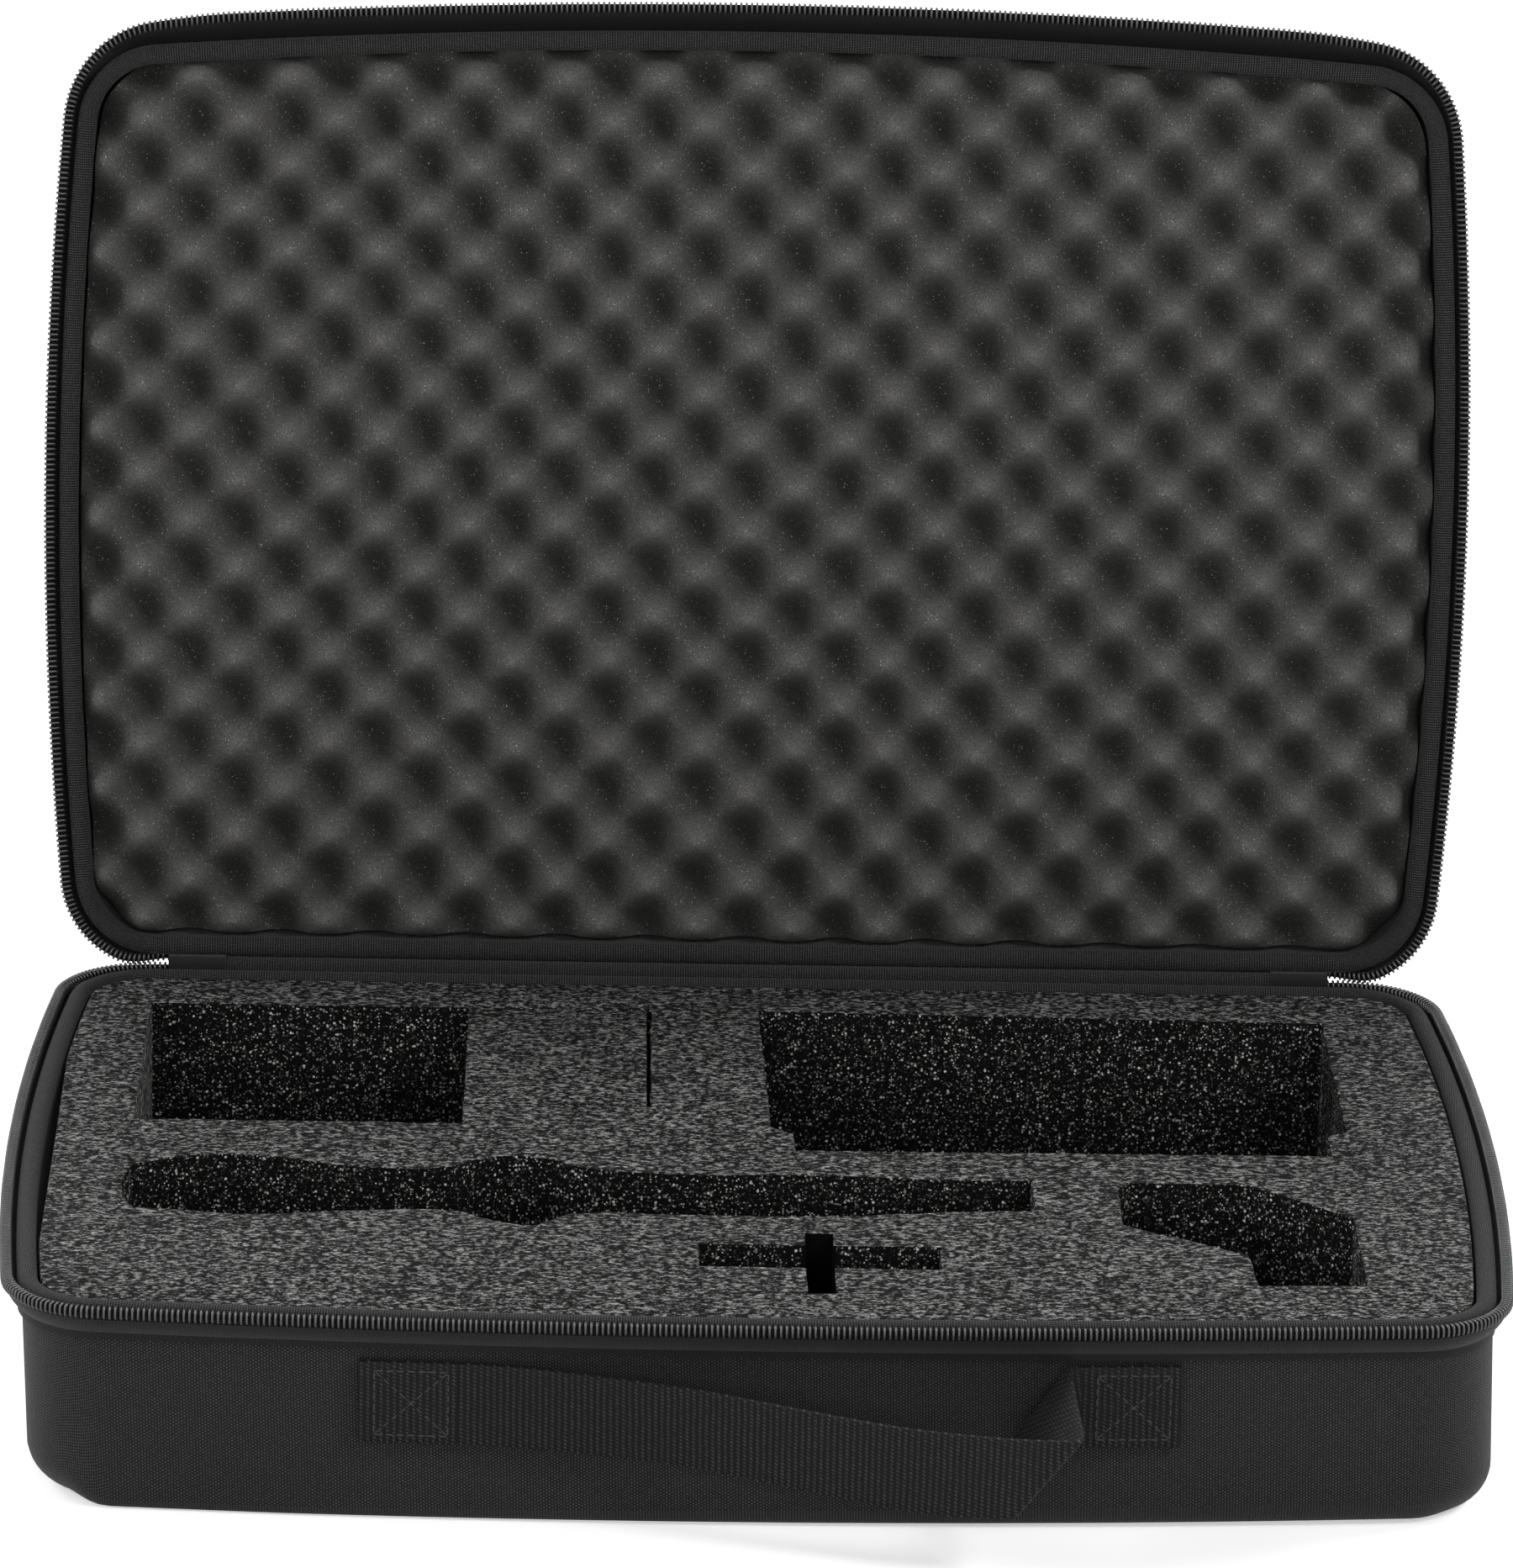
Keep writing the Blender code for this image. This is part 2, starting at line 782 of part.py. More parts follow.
receiver_x, receiver_y = spot(receiver_place_shares)
filler_x = receiver_x + receiver_width
receiver_outline = [
    (receiver_x, receiver_y),
    (receiver_x, receiver_y - receiver_depth),
    (filler_x, receiver_y - receiver_depth),
    (filler_x, receiver_y - filler_depth),
    (filler_x + filler_width, receiver_y - filler_depth),
    (filler_x + filler_width, receiver_y),
]
gear_outline = scaled(gear_place_shares, gear_shares, gear_width, gear_depth)
clip_outline = scaled(clip_place_shares, clip_shares, clip_width, clip_depth)
mic_half = microphone_width / 2
mic_back = scaled(microphone_place_shares, microphone_back_shares, microphone_length, -mic_half)
mic_front = scaled(microphone_place_shares, microphone_front_shares, microphone_length, mic_half)
microphone_outline = mic_back + mic_front
cross_x, cross_y = spot(cross_place_shares)
slot_y = cross_y + cross_slot_length * cross_slot_shift_share
bar_x, bar_y = cross_bar_length / 2, cross_bar_width / 2
slot_x, slot_half_y = cross_slot_width / 2, cross_slot_length / 2
cross_outline = [
    (cross_x - bar_x, cross_y - bar_y),
    (cross_x - slot_x, cross_y - bar_y),
    (cross_x - slot_x, slot_y - slot_half_y),
    (cross_x + slot_x, slot_y - slot_half_y),
    (cross_x + slot_x, cross_y - bar_y),
    (cross_x + bar_x, cross_y - bar_y),
    (cross_x + bar_x, cross_y + bar_y),
    (cross_x + slot_x, cross_y + bar_y),
    (cross_x + slot_x, slot_y + slot_half_y),
    (cross_x - slot_x, slot_y + slot_half_y),
    (cross_x - slot_x, cross_y + bar_y),
    (cross_x - bar_x, cross_y + bar_y),
]
for name, outline in (
    ("receiver_pocket", receiver_outline),
    ("gear_pocket", gear_outline),
    ("microphone_pocket", microphone_outline),
    ("cross_slot", cross_outline),
    ("clip_pocket", clip_outline),
):
    low = closing - insert_low_depth - cut_overrun
    cutter = add_object(name, prism(name, outline, low, foam_top + cut_overrun), cutter=True)
    cut(foam_insert, cutter)

# Filler block: the loose plug of foam left in the stepped end of the receiver pocket
filler_low = (filler_x + fit_gap, receiver_y - filler_depth + fit_gap, closing - insert_low_depth)
filler_high = (filler_x + filler_width - filler_slit, receiver_y - fit_gap, foam_top)
add_object("foam_filler_block", block("foam_filler_block", filler_low, filler_high), insert_foam)

# Lid foam: egg-crate relief on a half-pitch grid, trimmed to the lid's inside
lid_foam_inset = inner_inset + binding_cloth + fit_gap + lid_foam_slack
lid_foam_back = closing + lid_height - wall - fit_gap
crate_front = closing - crate_proud


def grid_lines(low, high, pitch, peak):
    """The first half-pitch line at or below a limit, and the count to pass the other."""
    step = pitch / 2
    first = int((low - peak) / step) - 1
    last = int((high - peak) / step) + 1
    return peak + first * step, last - first


start_x, count_x = grid_lines(-half_width, half_width, crate_pitch_x, crate_peak_x)
start_y, count_y = grid_lines(-half_depth, half_depth, crate_pitch_y, crate_peak_y)
bm = bmesh.new()
bmesh.ops.create_grid(bm, x_segments=count_x, y_segments=count_y, size=0.5)
grid_size = Vector((count_x * crate_pitch_x / 2, count_y * crate_pitch_y / 2, 1))
bmesh.ops.scale(bm, vec=grid_size, verts=bm.verts)
grid_middle = Vector((start_x + grid_size.x / 2, start_y + grid_size.y / 2, 0))
bmesh.ops.translate(bm, vec=grid_middle, verts=bm.verts)
bmesh.ops.poke(bm, faces=bm.faces)
for vert in bm.verts:
    wave_x = cos(2 * pi * (vert.co.x - crate_peak_x) / crate_pitch_x)
    wave_y = cos(2 * pi * (vert.co.y - crate_peak_y) / crate_pitch_y)
    vert.co.z = crate_front + crate_relief * (1 - wave_x * wave_y) / 2
grown = bmesh.ops.extrude_face_region(bm, geom=bm.faces[:])["geom"]
for vert in grown:
    if isinstance(vert, bmesh.types.BMVert):
        vert.co.z = lid_foam_back
lid_foam = add_object("lid_foam", close_mesh(bm, "lid_foam"), crate_foam, lid_axis)
trim_section = foam_section(
    -crate_proud, lid_height - wall - fit_gap, lid_foam_inset, lid_height, lid_fillet
)
trim_section = [(lid_foam_inset, -crate_proud - cut_overrun), *trim_section[1:]]
trim_section.append((trim_section[-1][0], lid_height + cut_overrun))
lid_trim = stacked("lid_foam_trim", trim_section, LID)
cut(lid_foam, add_object("lid_foam_trim", lid_trim, parent=lid_axis, cutter=True), "INTERSECT")

for obj in case_parts.objects:
    if obj.type == "MESH":
        obj.data.shade_smooth()
        obj.data.set_sharp_from_angle(angle=radians(30))
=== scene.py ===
"""The looks of a soft-sided microphone case that stands open on a pale floor.

The sections follow the case as it is put together: shells, bindings, zip, hinge, handle, foam.
Metres, in the frame of the CAD model. Lid pieces are drawn closed and then swung open.
"""

from math import acos, atan2, cos, pi, radians, sin, sqrt

import bmesh
import bpy
from mathutils import Matrix, Vector, noise


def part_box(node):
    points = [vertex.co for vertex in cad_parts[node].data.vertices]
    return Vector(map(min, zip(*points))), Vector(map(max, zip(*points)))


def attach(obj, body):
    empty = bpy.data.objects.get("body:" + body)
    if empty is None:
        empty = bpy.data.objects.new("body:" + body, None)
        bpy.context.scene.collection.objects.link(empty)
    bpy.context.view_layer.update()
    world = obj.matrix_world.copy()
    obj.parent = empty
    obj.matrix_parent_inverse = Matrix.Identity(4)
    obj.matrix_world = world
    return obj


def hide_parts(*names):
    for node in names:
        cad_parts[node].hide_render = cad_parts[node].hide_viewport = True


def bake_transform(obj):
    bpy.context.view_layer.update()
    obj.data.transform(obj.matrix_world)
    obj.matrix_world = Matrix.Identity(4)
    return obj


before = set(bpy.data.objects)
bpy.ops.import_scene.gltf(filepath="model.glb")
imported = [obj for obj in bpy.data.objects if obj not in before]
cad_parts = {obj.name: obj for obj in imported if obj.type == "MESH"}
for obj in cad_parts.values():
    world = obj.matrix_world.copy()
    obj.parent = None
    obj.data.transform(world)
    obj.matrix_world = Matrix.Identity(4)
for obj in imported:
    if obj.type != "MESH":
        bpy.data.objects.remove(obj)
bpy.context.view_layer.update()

# Camera: a long lens a little to the left of the middle, looking down on the open case.
# Its place and angles were solved from the case's outline in the photograph.
camera_place = (-0.0488, -2.6027, 1.0465)
camera_pitch = radians(18.45)
camera_yaw = radians(1.041)
camera_roll = radians(1.247)
camera_lens = 211.08

camera_data = bpy.data.cameras.new("camera")
camera_data.lens = camera_lens
camera_data.clip_start = 0.1
camera_data.clip_end = 50
camera = bpy.data.objects.new("camera", camera_data)
turn = Matrix.Rotation(-camera_yaw, 4, "Z") @ Matrix.Rotation(pi / 2 - camera_pitch, 4, "X")
camera.matrix_world = Matrix.Translation(camera_place) @ turn @ Matrix.Rotation(camera_roll, 4, "Z")
bpy.context.scene.collection.objects.link(camera)
bpy.context.scene.camera = camera
bpy.context.scene.view_settings.view_transform = "Standard"


# Studio: a white floor that runs out of sight into a white surround. One broad lamp stands low in
# front and one over the back, with a fill at each side and each back corner. The floor shows
# white to the camera and keeps a soft shadow.
floor_reach = 12.0
floor_white = 0.95
floor_glow = 0.43
floor_near = 0.5
floor_far = 2.5
surround_light = 0.13


def new_material(name):
    """A node material with one Principled BSDF, its tree and that shader."""
    material = bpy.data.materials.new(name)
    material.use_nodes = True
    return material, material.node_tree, material.node_tree.nodes["Principled BSDF"]


def add_node(tree, kind, values=None, links=None, **settings):
    """A node with its settings, its plain input values and what feeds its inputs."""
    node = tree.nodes.new(kind)
    for key, value in settings.items():
        setattr(node, key, value)
    for key, value in (values or {}).items():
        node.inputs[key].default_value = value
    for key, source in (links or {}).items():
        tree.links.new(source, node.inputs[key])
    return node


bm = bmesh.new()
bmesh.ops.create_grid(bm, x_segments=1, y_segments=1, size=floor_reach)
floor_mesh = bpy.data.meshes.new("studio_floor")
bm.to_mesh(floor_mesh)
bm.free()
studio_floor = bpy.data.objects.new("studio_floor", floor_mesh)
bpy.context.scene.collection.objects.link(studio_floor)
floor_material, tree, shader = new_material("floor_white")
shader.inputs["Base Color"].default_value = (floor_white, floor_white, floor_white, 1)
shader.inputs["Roughness"].default_value = 0.6
shader.inputs["Emission Color"].default_value = (1, 1, 1, 1)
light_path = add_node(tree, "ShaderNodeLightPath")
place = add_node(tree, "ShaderNodeTexCoord")
far = add_node(tree, "ShaderNodeVectorMath", operation="LENGTH", links={0: place.outputs["Object"]})
glow = add_node(tree, "ShaderNodeMapRange", interpolation_type="SMOOTHSTEP",
                values={"From Min": floor_near, "From Max": floor_far, "To Min": floor_glow},
                links={"Value": far.outputs["Value"]})
seen = add_node(tree, "ShaderNodeMath", operation="MULTIPLY",
                links={0: light_path.outputs["Is Camera Ray"], 1: glow.outputs[0]})
tree.links.new(seen.outputs[0], shader.inputs["Emission Strength"])
floor_mesh.materials.append(floor_material)

world = bpy.data.worlds.new("surround")
world.use_nodes = True
bpy.context.scene.world = world
tree = world.node_tree
light_path = add_node(tree, "ShaderNodeLightPath")
direct = add_node(tree, "ShaderNodeMath", operation="MAXIMUM",
                  links={0: light_path.outputs["Is Camera Ray"],
                         1: light_path.outputs["Is Transmission Ray"]})
shown = add_node(tree, "ShaderNodeMath", operation="MAXIMUM",
                 links={0: direct.outputs[0], 1: light_path.outputs["Is Glossy Ray"]})
strength = add_node(tree, "ShaderNodeMapRange", {"To Min": surround_light},
                    {"Value": shown.outputs[0]})
background = tree.nodes["Background"]
background.inputs["Color"].default_value = (1, 1, 1, 1)
tree.links.new(strength.outputs[0], background.inputs["Strength"])


def add_lamp(name, place, aim, size, power):
    """A rectangular lamp turned to its aim, its size in metres and its power in watts."""
    lamp = bpy.data.lights.new(name, "AREA")
    lamp.shape = "RECTANGLE"
    lamp.size, lamp.size_y = size
    lamp.energy = power
    obj = bpy.data.objects.new(name, lamp)
    obj.location = place
    obj.rotation_euler = (Vector(aim) - Vector(place)).to_track_quat("-Z", "Y").to_euler()
    bpy.context.scene.collection.objects.link(obj)


add_lamp("front_lamp", (-0.1, -2.9, 1.0), (0, 0, 0.15), (1.8, 1.2), 36)
add_lamp("back_lamp", (0, 1.3, 2.2), (0, -0.10, 0.05), (2.4, 0.9), 36)
add_lamp("back_left_lamp", (-1.6, 0.7, 1.2), (-0.1, 0, 0.05), (0.8, 0.8), 17)
add_lamp("back_right_lamp", (1.6, 0.7, 1.2), (0.1, 0, 0.05), (0.8, 0.8), 15)
add_lamp("left_lamp", (-2.3, -0.7, 1.2), (-0.1, 0, 0.05), (0.9, 1.4), 21)
add_lamp("right_lamp", (1.7, -1.1, 1.9), (0, 0.1, 0.2), (0.7, 0.7), 30)


# Base and lid shells: foam board with woven polyester bonded outside and a knit lining inside,
# moulded to a bowed outline. The base's lower bend is tight at the left and opens to the right.
case_width = 0.450
case_depth = 0.306
side_bow = 0.0087
front_bow = 0.0100
corner_radius = 0.031
base_height = 0.065
lid_height = 0.042
lid_open = radians(99.2)
lid_swing = Matrix.Rotation(-lid_open, 3, "X")
wall = 0.0038
wall_inset = 0.006
inner_inset = wall_inset + wall
shell_top = 0.0016
clearance = 0.0003
merge_gap = 1e-6
hinge_y = 0.1502
closing = base_height
hinge_line = Vector((0, hinge_y, closing))
half_width = case_width / 2
half_depth = case_depth / 2

side_radius = (half_depth**2 + side_bow**2) / (2 * side_bow)
front_radius = (half_width**2 + front_bow**2) / (2 * front_bow)
side_centre = Vector((half_width - side_radius, 0))
front_centre = Vector((0, front_radius - half_depth))


def corner_between(first, first_reach, second, second_reach):
    """Where the front right corner arc is centred: the crossing of two circles."""
    line = second - first
    span = line.length
    along = (first_reach**2 - second_reach**2 + span**2) / (2 * span)
    across = sqrt(first_reach**2 - along**2)
    foot = first + line * (along / span)
    step = Vector((-line.y, line.x)) * (across / span)
    return max(foot + step, foot - step, key=lambda point: point.x - point.y)


def heading(centre, point):
    """The angle at which the point is seen from the centre."""
    return atan2(point.y - centre.y, point.x - centre.x)


front_corner = corner_between(
    front_centre, front_radius - corner_radius, side_centre, side_radius - corner_radius
)
back_corner_y = half_depth - corner_radius
back_corner_x = side_centre.x + sqrt((side_radius - corner_radius) ** 2 - back_corner_y**2)
back_corner = Vector((back_corner_x, back_corner_y))
front_end = heading(front_centre, front_corner)
side_start = heading(side_centre, front_corner)
side_end = heading(side_centre, back_corner)
rim_arcs = (
    (front_centre, front_radius, -pi / 2, front_end),
    (front_corner, corner_radius, front_end, side_start),
    (side_centre, side_radius, side_start, side_end),
    (back_corner, corner_radius, side_end, pi / 2),
)
half_rim_length = sum(r * (b - a) for _, r, a, b in rim_arcs) + back_corner_x


def rim_place(run, inset):
    """A point on the rim. The run is a length from the back centre, round the left side."""
    reach = half_rim_length - run
    side = 1 if reach < 0 else -1
    reach = abs(reach)
    for centre, radius, start, end in rim_arcs:
        if reach <= radius * (end - start):
            angle = start + reach / radius
            out = radius - inset
            return side * (centre.x + out * cos(angle)), centre.y + out * sin(angle)
        reach -= radius * (end - start)
    return side * (back_corner_x - reach), half_depth - inset


sharp_angle = radians(40)


def add_piece(name, bm, body, slot, *materials, replaced=()):
    """Makes the piece's object, shades it and hangs it on its body."""
    bmesh.ops.recalc_face_normals(bm, faces=bm.faces)
    mesh = bpy.data.meshes.new(name)
    bm.to_mesh(mesh)
    bm.free()
    for material in materials:
        mesh.materials.append(material)
    mesh.shade_smooth()
    mesh.set_sharp_from_angle(angle=sharp_angle)
    piece = bpy.data.objects.new(name, mesh)
    bpy.context.scene.collection.objects.link(piece)
    if body:
        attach(piece, body)
    if replaced:
        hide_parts(*replaced)
    return piece


def front_wall_y(x, inset):
    """Where the bowed front wall stands at this x."""
    return front_centre.y - sqrt((front_radius - inset) ** 2 - x**2)


def open_lid(bm):
    """Swings what was drawn for the closed lid back to where it stands open."""
    bmesh.ops.rotate(bm, verts=bm.verts, cent=hinge_line, matrix=lid_swing)


def bent_sheet(columns, rows, cloth, place):
    """A grid bent into a sheet. For a share of the way along and a row, cloth gives the UV in
    metres of the flat cloth, and place the point in space."""
    bm = bmesh.new()
    uv = bm.loops.layers.uv.new("UVMap")
    bmesh.ops.create_grid(bm, x_segments=columns, y_segments=rows, size=0.5, calc_uvs=True)
    spots = {}
    for vert in bm.verts:
        spots[vert] = vert.co.x + 0.5, round((vert.co.y + 0.5) * rows)
        vert.co = place(*spots[vert])
    for face in bm.faces:
        for corner in face.loops:
            corner[uv].uv = cloth(*spots[corner.vert])
    bmesh.ops.remove_doubles(bm, verts=bm.verts, dist=merge_gap)
    return bm


def lengths_along(points):
    """The length walked up to each point of a line."""
    walked = [0.0]
    for near, far in zip(points, points[1:]):
        walked.append(walked[-1] + (Vector(far) - Vector(near)).length)
    return walked


def wrap(section, steps, side, start=0.0, end=2 * half_rim_length, shift=None):
    """A sheet carried along the rim. The section holds pairs of inset and depth off the closing
    plane, and shift gives its own pair for a run along the rim and a row of the section."""
    across = lengths_along(section)

    def cloth(share, row):
        return start + share * (end - start), across[row]

    def place(share, row):
        run = start + share * (end - start)
        inset, depth = shift(run, row) if shift else section[row]
        x, y = rim_place(run, inset)
        return x, y, closing + side * depth

    return bent_sheet(steps, len(section) - 1, cloth, place)


def cap_ends(bm):
    """Closes each open boundary with one face, its UV map flat."""
    uv = bm.loops.layers.uv.active
    edges = [edge for edge in bm.edges if edge.is_boundary]
    for face in bmesh.ops.holes_fill(bm, edges=edges, sides=0)["faces"]:
        for corner in face.loops:
            corner[uv].uv = corner.vert.co.xy


def new_group(name, inputs, outputs):
    """A node group fed by a Vector and plain numbers, and the nodes at its two ends."""
    group = bpy.data.node_groups.new(name, "ShaderNodeTree")
    group.interface.new_socket("Vector", in_out="INPUT", socket_type="NodeSocketVector")
    for way, labels in (("INPUT", inputs), ("OUTPUT", outputs)):
        for label in labels:
            group.interface.new_socket(label, in_out=way, socket_type="NodeSocketFloat")
    return group, add_node(group, "NodeGroupInput"), add_node(group, "NodeGroupOutput")


def make_bead_group():
    """Threads that come up as beads, on metres of cloth: columns Along, rows Across, each column
    set off from the last by Stagger and each bead drawn out by Slant."""
    sizes = ("Along", "Across", "Stagger", "Slant", "Wide", "Tall", "Drift")
    group, inner, outer = new_group("beads", sizes, ("Height", "Mask", "Tint"))

    def math(operation, first, second=None):
        node = group.nodes.new("ShaderNodeMath")
        node.operation = operation
        for i, value in enumerate((first, second)):
            if isinstance(value, (int, float)):
                node.inputs[i].default_value = value
            elif value is not None:
                group.links.new(value, node.inputs[i])
        return node.outputs[0]

    wander = add_node(group, "ShaderNodeTexNoise", {"Scale": 130.0, "Detail": 2.0},
                      {"Vector": inner.outputs["Vector"]})
    shift = math("MULTIPLY", math("SUBTRACT", wander.outputs[0], 0.5), inner.outputs["Drift"])
    parts = add_node(group, "ShaderNodeSeparateXYZ", links={"Vector": inner.outputs["Vector"]})
    u = math("ADD", math("DIVIDE", parts.outputs[0], inner.outputs["Along"]), shift)
    column = math("FLOOR", u)
    v = math("ADD", math("DIVIDE", parts.outputs[1], inner.outputs["Across"]), shift)
    v = math("ADD", v, math("MULTIPLY", column, inner.outputs["Stagger"]))
    side = math("SUBTRACT", math("FRACT", u), 0.5)
    tall = math("SUBTRACT", math("FRACT", v), 0.5)
    side = math("ADD", side, math("MULTIPLY", tall, inner.outputs["Slant"]))
    side = math("DIVIDE", side, inner.outputs["Wide"])
    tall = math("DIVIDE", tall, inner.outputs["Tall"])
    away = math("ADD", math("MULTIPLY", side, side), math("MULTIPLY", tall, tall))
    height = math("SQRT", math("MAXIMUM", math("SUBTRACT", 1.0, away), 0.0))
    mask = add_node(group, "ShaderNodeMapRange", values={"From Min": 1.0, "From Max": 0.2},
                    links={"Value": away})
    cell = add_node(group, "ShaderNodeCombineXYZ", links={0: column, 1: math("FLOOR", v)})
    tint = add_node(group, "ShaderNodeTexWhiteNoise", links={"Vector": cell.outputs[0]},
                    noise_dimensions="2D")
    group.links.new(height, outer.inputs["Height"])
    group.links.new(mask.outputs[0], outer.inputs["Mask"])
    group.links.new(tint.outputs["Value"], outer.inputs["Tint"])
    return group


def make_mottle_group():
    """A slow drift in tone: a Factor that wanders between Least and Most."""
    group, inner, outer = new_group("mottle", ("Scale", "Detail", "Least", "Most"), ("Factor",))
    fed = inner.outputs
    drift = add_node(group, "ShaderNodeTexNoise",
                     links={key: fed[key] for key in ("Vector", "Scale", "Detail")})
    factor = add_node(group, "ShaderNodeMapRange",
                      links={"Value": drift.outputs[0], "To Min": fed["Least"], "To Max": fed["Most"]})
    group.links.new(factor.outputs[0], outer.inputs["Factor"])
    return group


bead_group = make_bead_group()
mottle_group = make_mottle_group()


def mottle(tree, colour, values):
    """The colour with a slow drift in its tone over the piece."""
    place = add_node(tree, "ShaderNodeTexCoord")
    slow = add_node(tree, "ShaderNodeGroup", values, {"Vector": place.outputs["Object"]},
                    node_tree=mottle_group)
    toned = add_node(tree, "ShaderNodeVectorMath", operation="SCALE",
                     links={0: colour, "Scale": slow.outputs["Factor"]})
    return toned.outputs[0]


def cloth_material(name, low, high, weave, roughness, lift, sheen=0.10):
    """Woven cloth: dark ground, lighter raised threads, and a slow drift in tone."""
    material, tree, shader = new_material(name)
    uv = add_node(tree, "ShaderNodeUVMap", uv_map="UVMap")
    beads = add_node(tree, "ShaderNodeGroup", weave, {"Vector": uv.outputs[0]},
                     node_tree=bead_group)
    tint = add_node(tree, "ShaderNodeMapRange", values={"To Min": 0.5, "To Max": 1.0},
                    links={"Value": beads.outputs["Tint"]})
    raised = add_node(tree, "ShaderNodeMath", operation="MULTIPLY",
                      links={0: beads.outputs["Mask"], 1: tint.outputs[0]})
    mix = add_node(tree, "ShaderNodeMix", data_type="RGBA",
                   links={"Factor": raised.outputs[0]})
    mix.inputs[6].default_value = (*low, 1)
    mix.inputs[7].default_value = (*high, 1)
    drift = {"Scale": 22.0, "Detail": 3.0, "Least": 0.82, "Most": 1.18}
    tree.links.new(mottle(tree, mix.outputs[2], drift), shader.inputs["Base Color"])
    rough = add_node(tree, "ShaderNodeMapRange",
                     values={"To Min": roughness, "To Max": roughness - 0.2},
                     links={"Value": beads.outputs["Mask"]})
    tree.links.new(rough.outputs[0], shader.inputs["Roughness"])
    bump = add_node(tree, "ShaderNodeBump", {"Strength": 1.0, "Distance": lift},
                    {"Height": beads.outputs["Height"]})
    tree.links.new(bump.outputs[0], shader.inputs["Normal"])
    shader.inputs["Sheen Weight"].default_value = sheen
    shader.inputs["Sheen Roughness"].default_value = 0.5
    shader.inputs["Specular IOR Level"].default_value = 0.15
    return material


def plain_finish(name, colour, roughness, specular=0.5, metallic=0.0):
    """One even colour and gloss all over."""
    material, tree, shader = new_material(name)
    shader.inputs["Base Color"].default_value = (*colour, 1)
    shader.inputs["Roughness"].default_value = roughness
    shader.inputs["Specular IOR Level"].default_value = specular
    shader.inputs["Metallic"].default_value = metallic
    return material


shell_weave = {"Along": 0.00085, "Across": 0.00085, "Stagger": 0.5, "Wide": 0.42, "Tall": 0.36,
               "Drift": 0.3}
shell_cloth = cloth_material("shell_cloth", (0.004, 0.004, 0.0042), (0.042, 0.042, 0.044),
                             shell_weave, 0.85, 0.00015)
lining_cloth = cloth_material("lining_cloth", (0.006, 0.006, 0.006), (0.02, 0.02, 0.02),
                              shell_weave, 0.95, 0.00005)


corner_start = 0.45
corner_fade = 0.022
half_corners = []
travelled = 0.0
for centre, radius, start, end in rim_arcs:
    length = radius * (end - start)
    if radius == corner_radius:
        half_corners.append((travelled + corner_start * length, travelled + length))
    travelled += length


def smooth_step(share):
    """0 to 1 with a soft start and end."""
    share = max(0.0, min(1.0, share))
    return share * share * (3 - 2 * share)


def cornerness(run):
    """1 in the outer part of a corner of the rim, falling smoothly to 0 beside it."""
    reach = abs(half_rim_length - run)
    off = min(max(a - reach, reach - b, 0) for a, b in half_corners)
    return smooth_step(1 - off / corner_fade)


bend_steps = 12
wall_steps = 8


def shell_section(height, fillet):
    """Up the outside from the flat panel, over the raw edge and down the inside."""
    inner = max(fillet - wall, clearance)
    turns = [pi / 2 * i / bend_steps for i in range(bend_steps + 1)]
    centre_inset = wall_inset + fillet
    centre_depth = height - fillet
    outside = [(centre_inset - fillet * sin(a), centre_depth + fillet * cos(a)) for a in turns]
    inside = [(centre_inset - inner * sin(a), centre_depth + inner * cos(a)) for a in turns[::-1]]
    rise = (shell_top - centre_depth) / wall_steps
    upright = [centre_depth + rise * i for i in range(1, wall_steps + 1)]
    up = [(wall_inset, depth) for depth in upright]
    down = [(inner_inset, depth) for depth in reversed(upright)]
    return [*outside, *up, *down, *inside]


corner_fillet = 0.0125
middle_fillet = 0.0055
fillet_growth = 0.018
least_fillet = 0.003
base_lean = 0.0020
shell_steps = 360
base_round = shell_section(base_height, corner_fillet)
base_tight = shell_section(base_height, least_fillet)


def base_bend(run, row):
    """The base's lower bend opens from the left to the right and is roundest at the corners."""
    x, _ = rim_place(run, 0)
    straight = max(least_fillet, middle_fillet + fillet_growth * x)
    bend = straight + (corner_fillet - straight) * cornerness(run)
    share = (bend - least_fillet) / (corner_fillet - least_fillet)
    (a, b), (c, d) = base_tight[row], base_round[row]
    return a + (c - a) * share, b + (d - b) * share


bm = wrap(base_round, shell_steps, -1, shift=base_bend)
for vert in bm.verts:
    vert.co.x += base_lean * (closing - vert.co.z) / base_height
cap_ends(bm)
add_piece("base_shell_cloth", bm, "base", "shell_cloth", shell_cloth, replaced=["base_shell"])

bm = wrap(shell_section(lid_height, corner_fillet), shell_steps, 1)
cap_ends(bm)
open_lid(bm)
add_piece("lid_shell_cloth", bm, "lid", "shell_cloth", shell_cloth, replaced=["lid_shell"])


# Rim bindings: ribbed tape folded over the raw edge of each shell and sewn through, so that it
# swells into a round roll between the zip and the foam.
binding_cloth = 0.0007
binding_top = 0.0006
binding_depth = 0.0065
binding_crown = 0.75
binding_steps = 480

binding_weave = {"Along": 0.00080, "Across": 0.00070, "Stagger": 0.12, "Slant": 0.2, "Wide": 0.34,
                 "Tall": 0.48, "Drift": 0.35}
binding_tape = cloth_material("binding_tape", (0.002, 0.002, 0.002), (0.062, 0.062, 0.062),
                              binding_weave, 0.80, 0.00035, sheen=0.05)


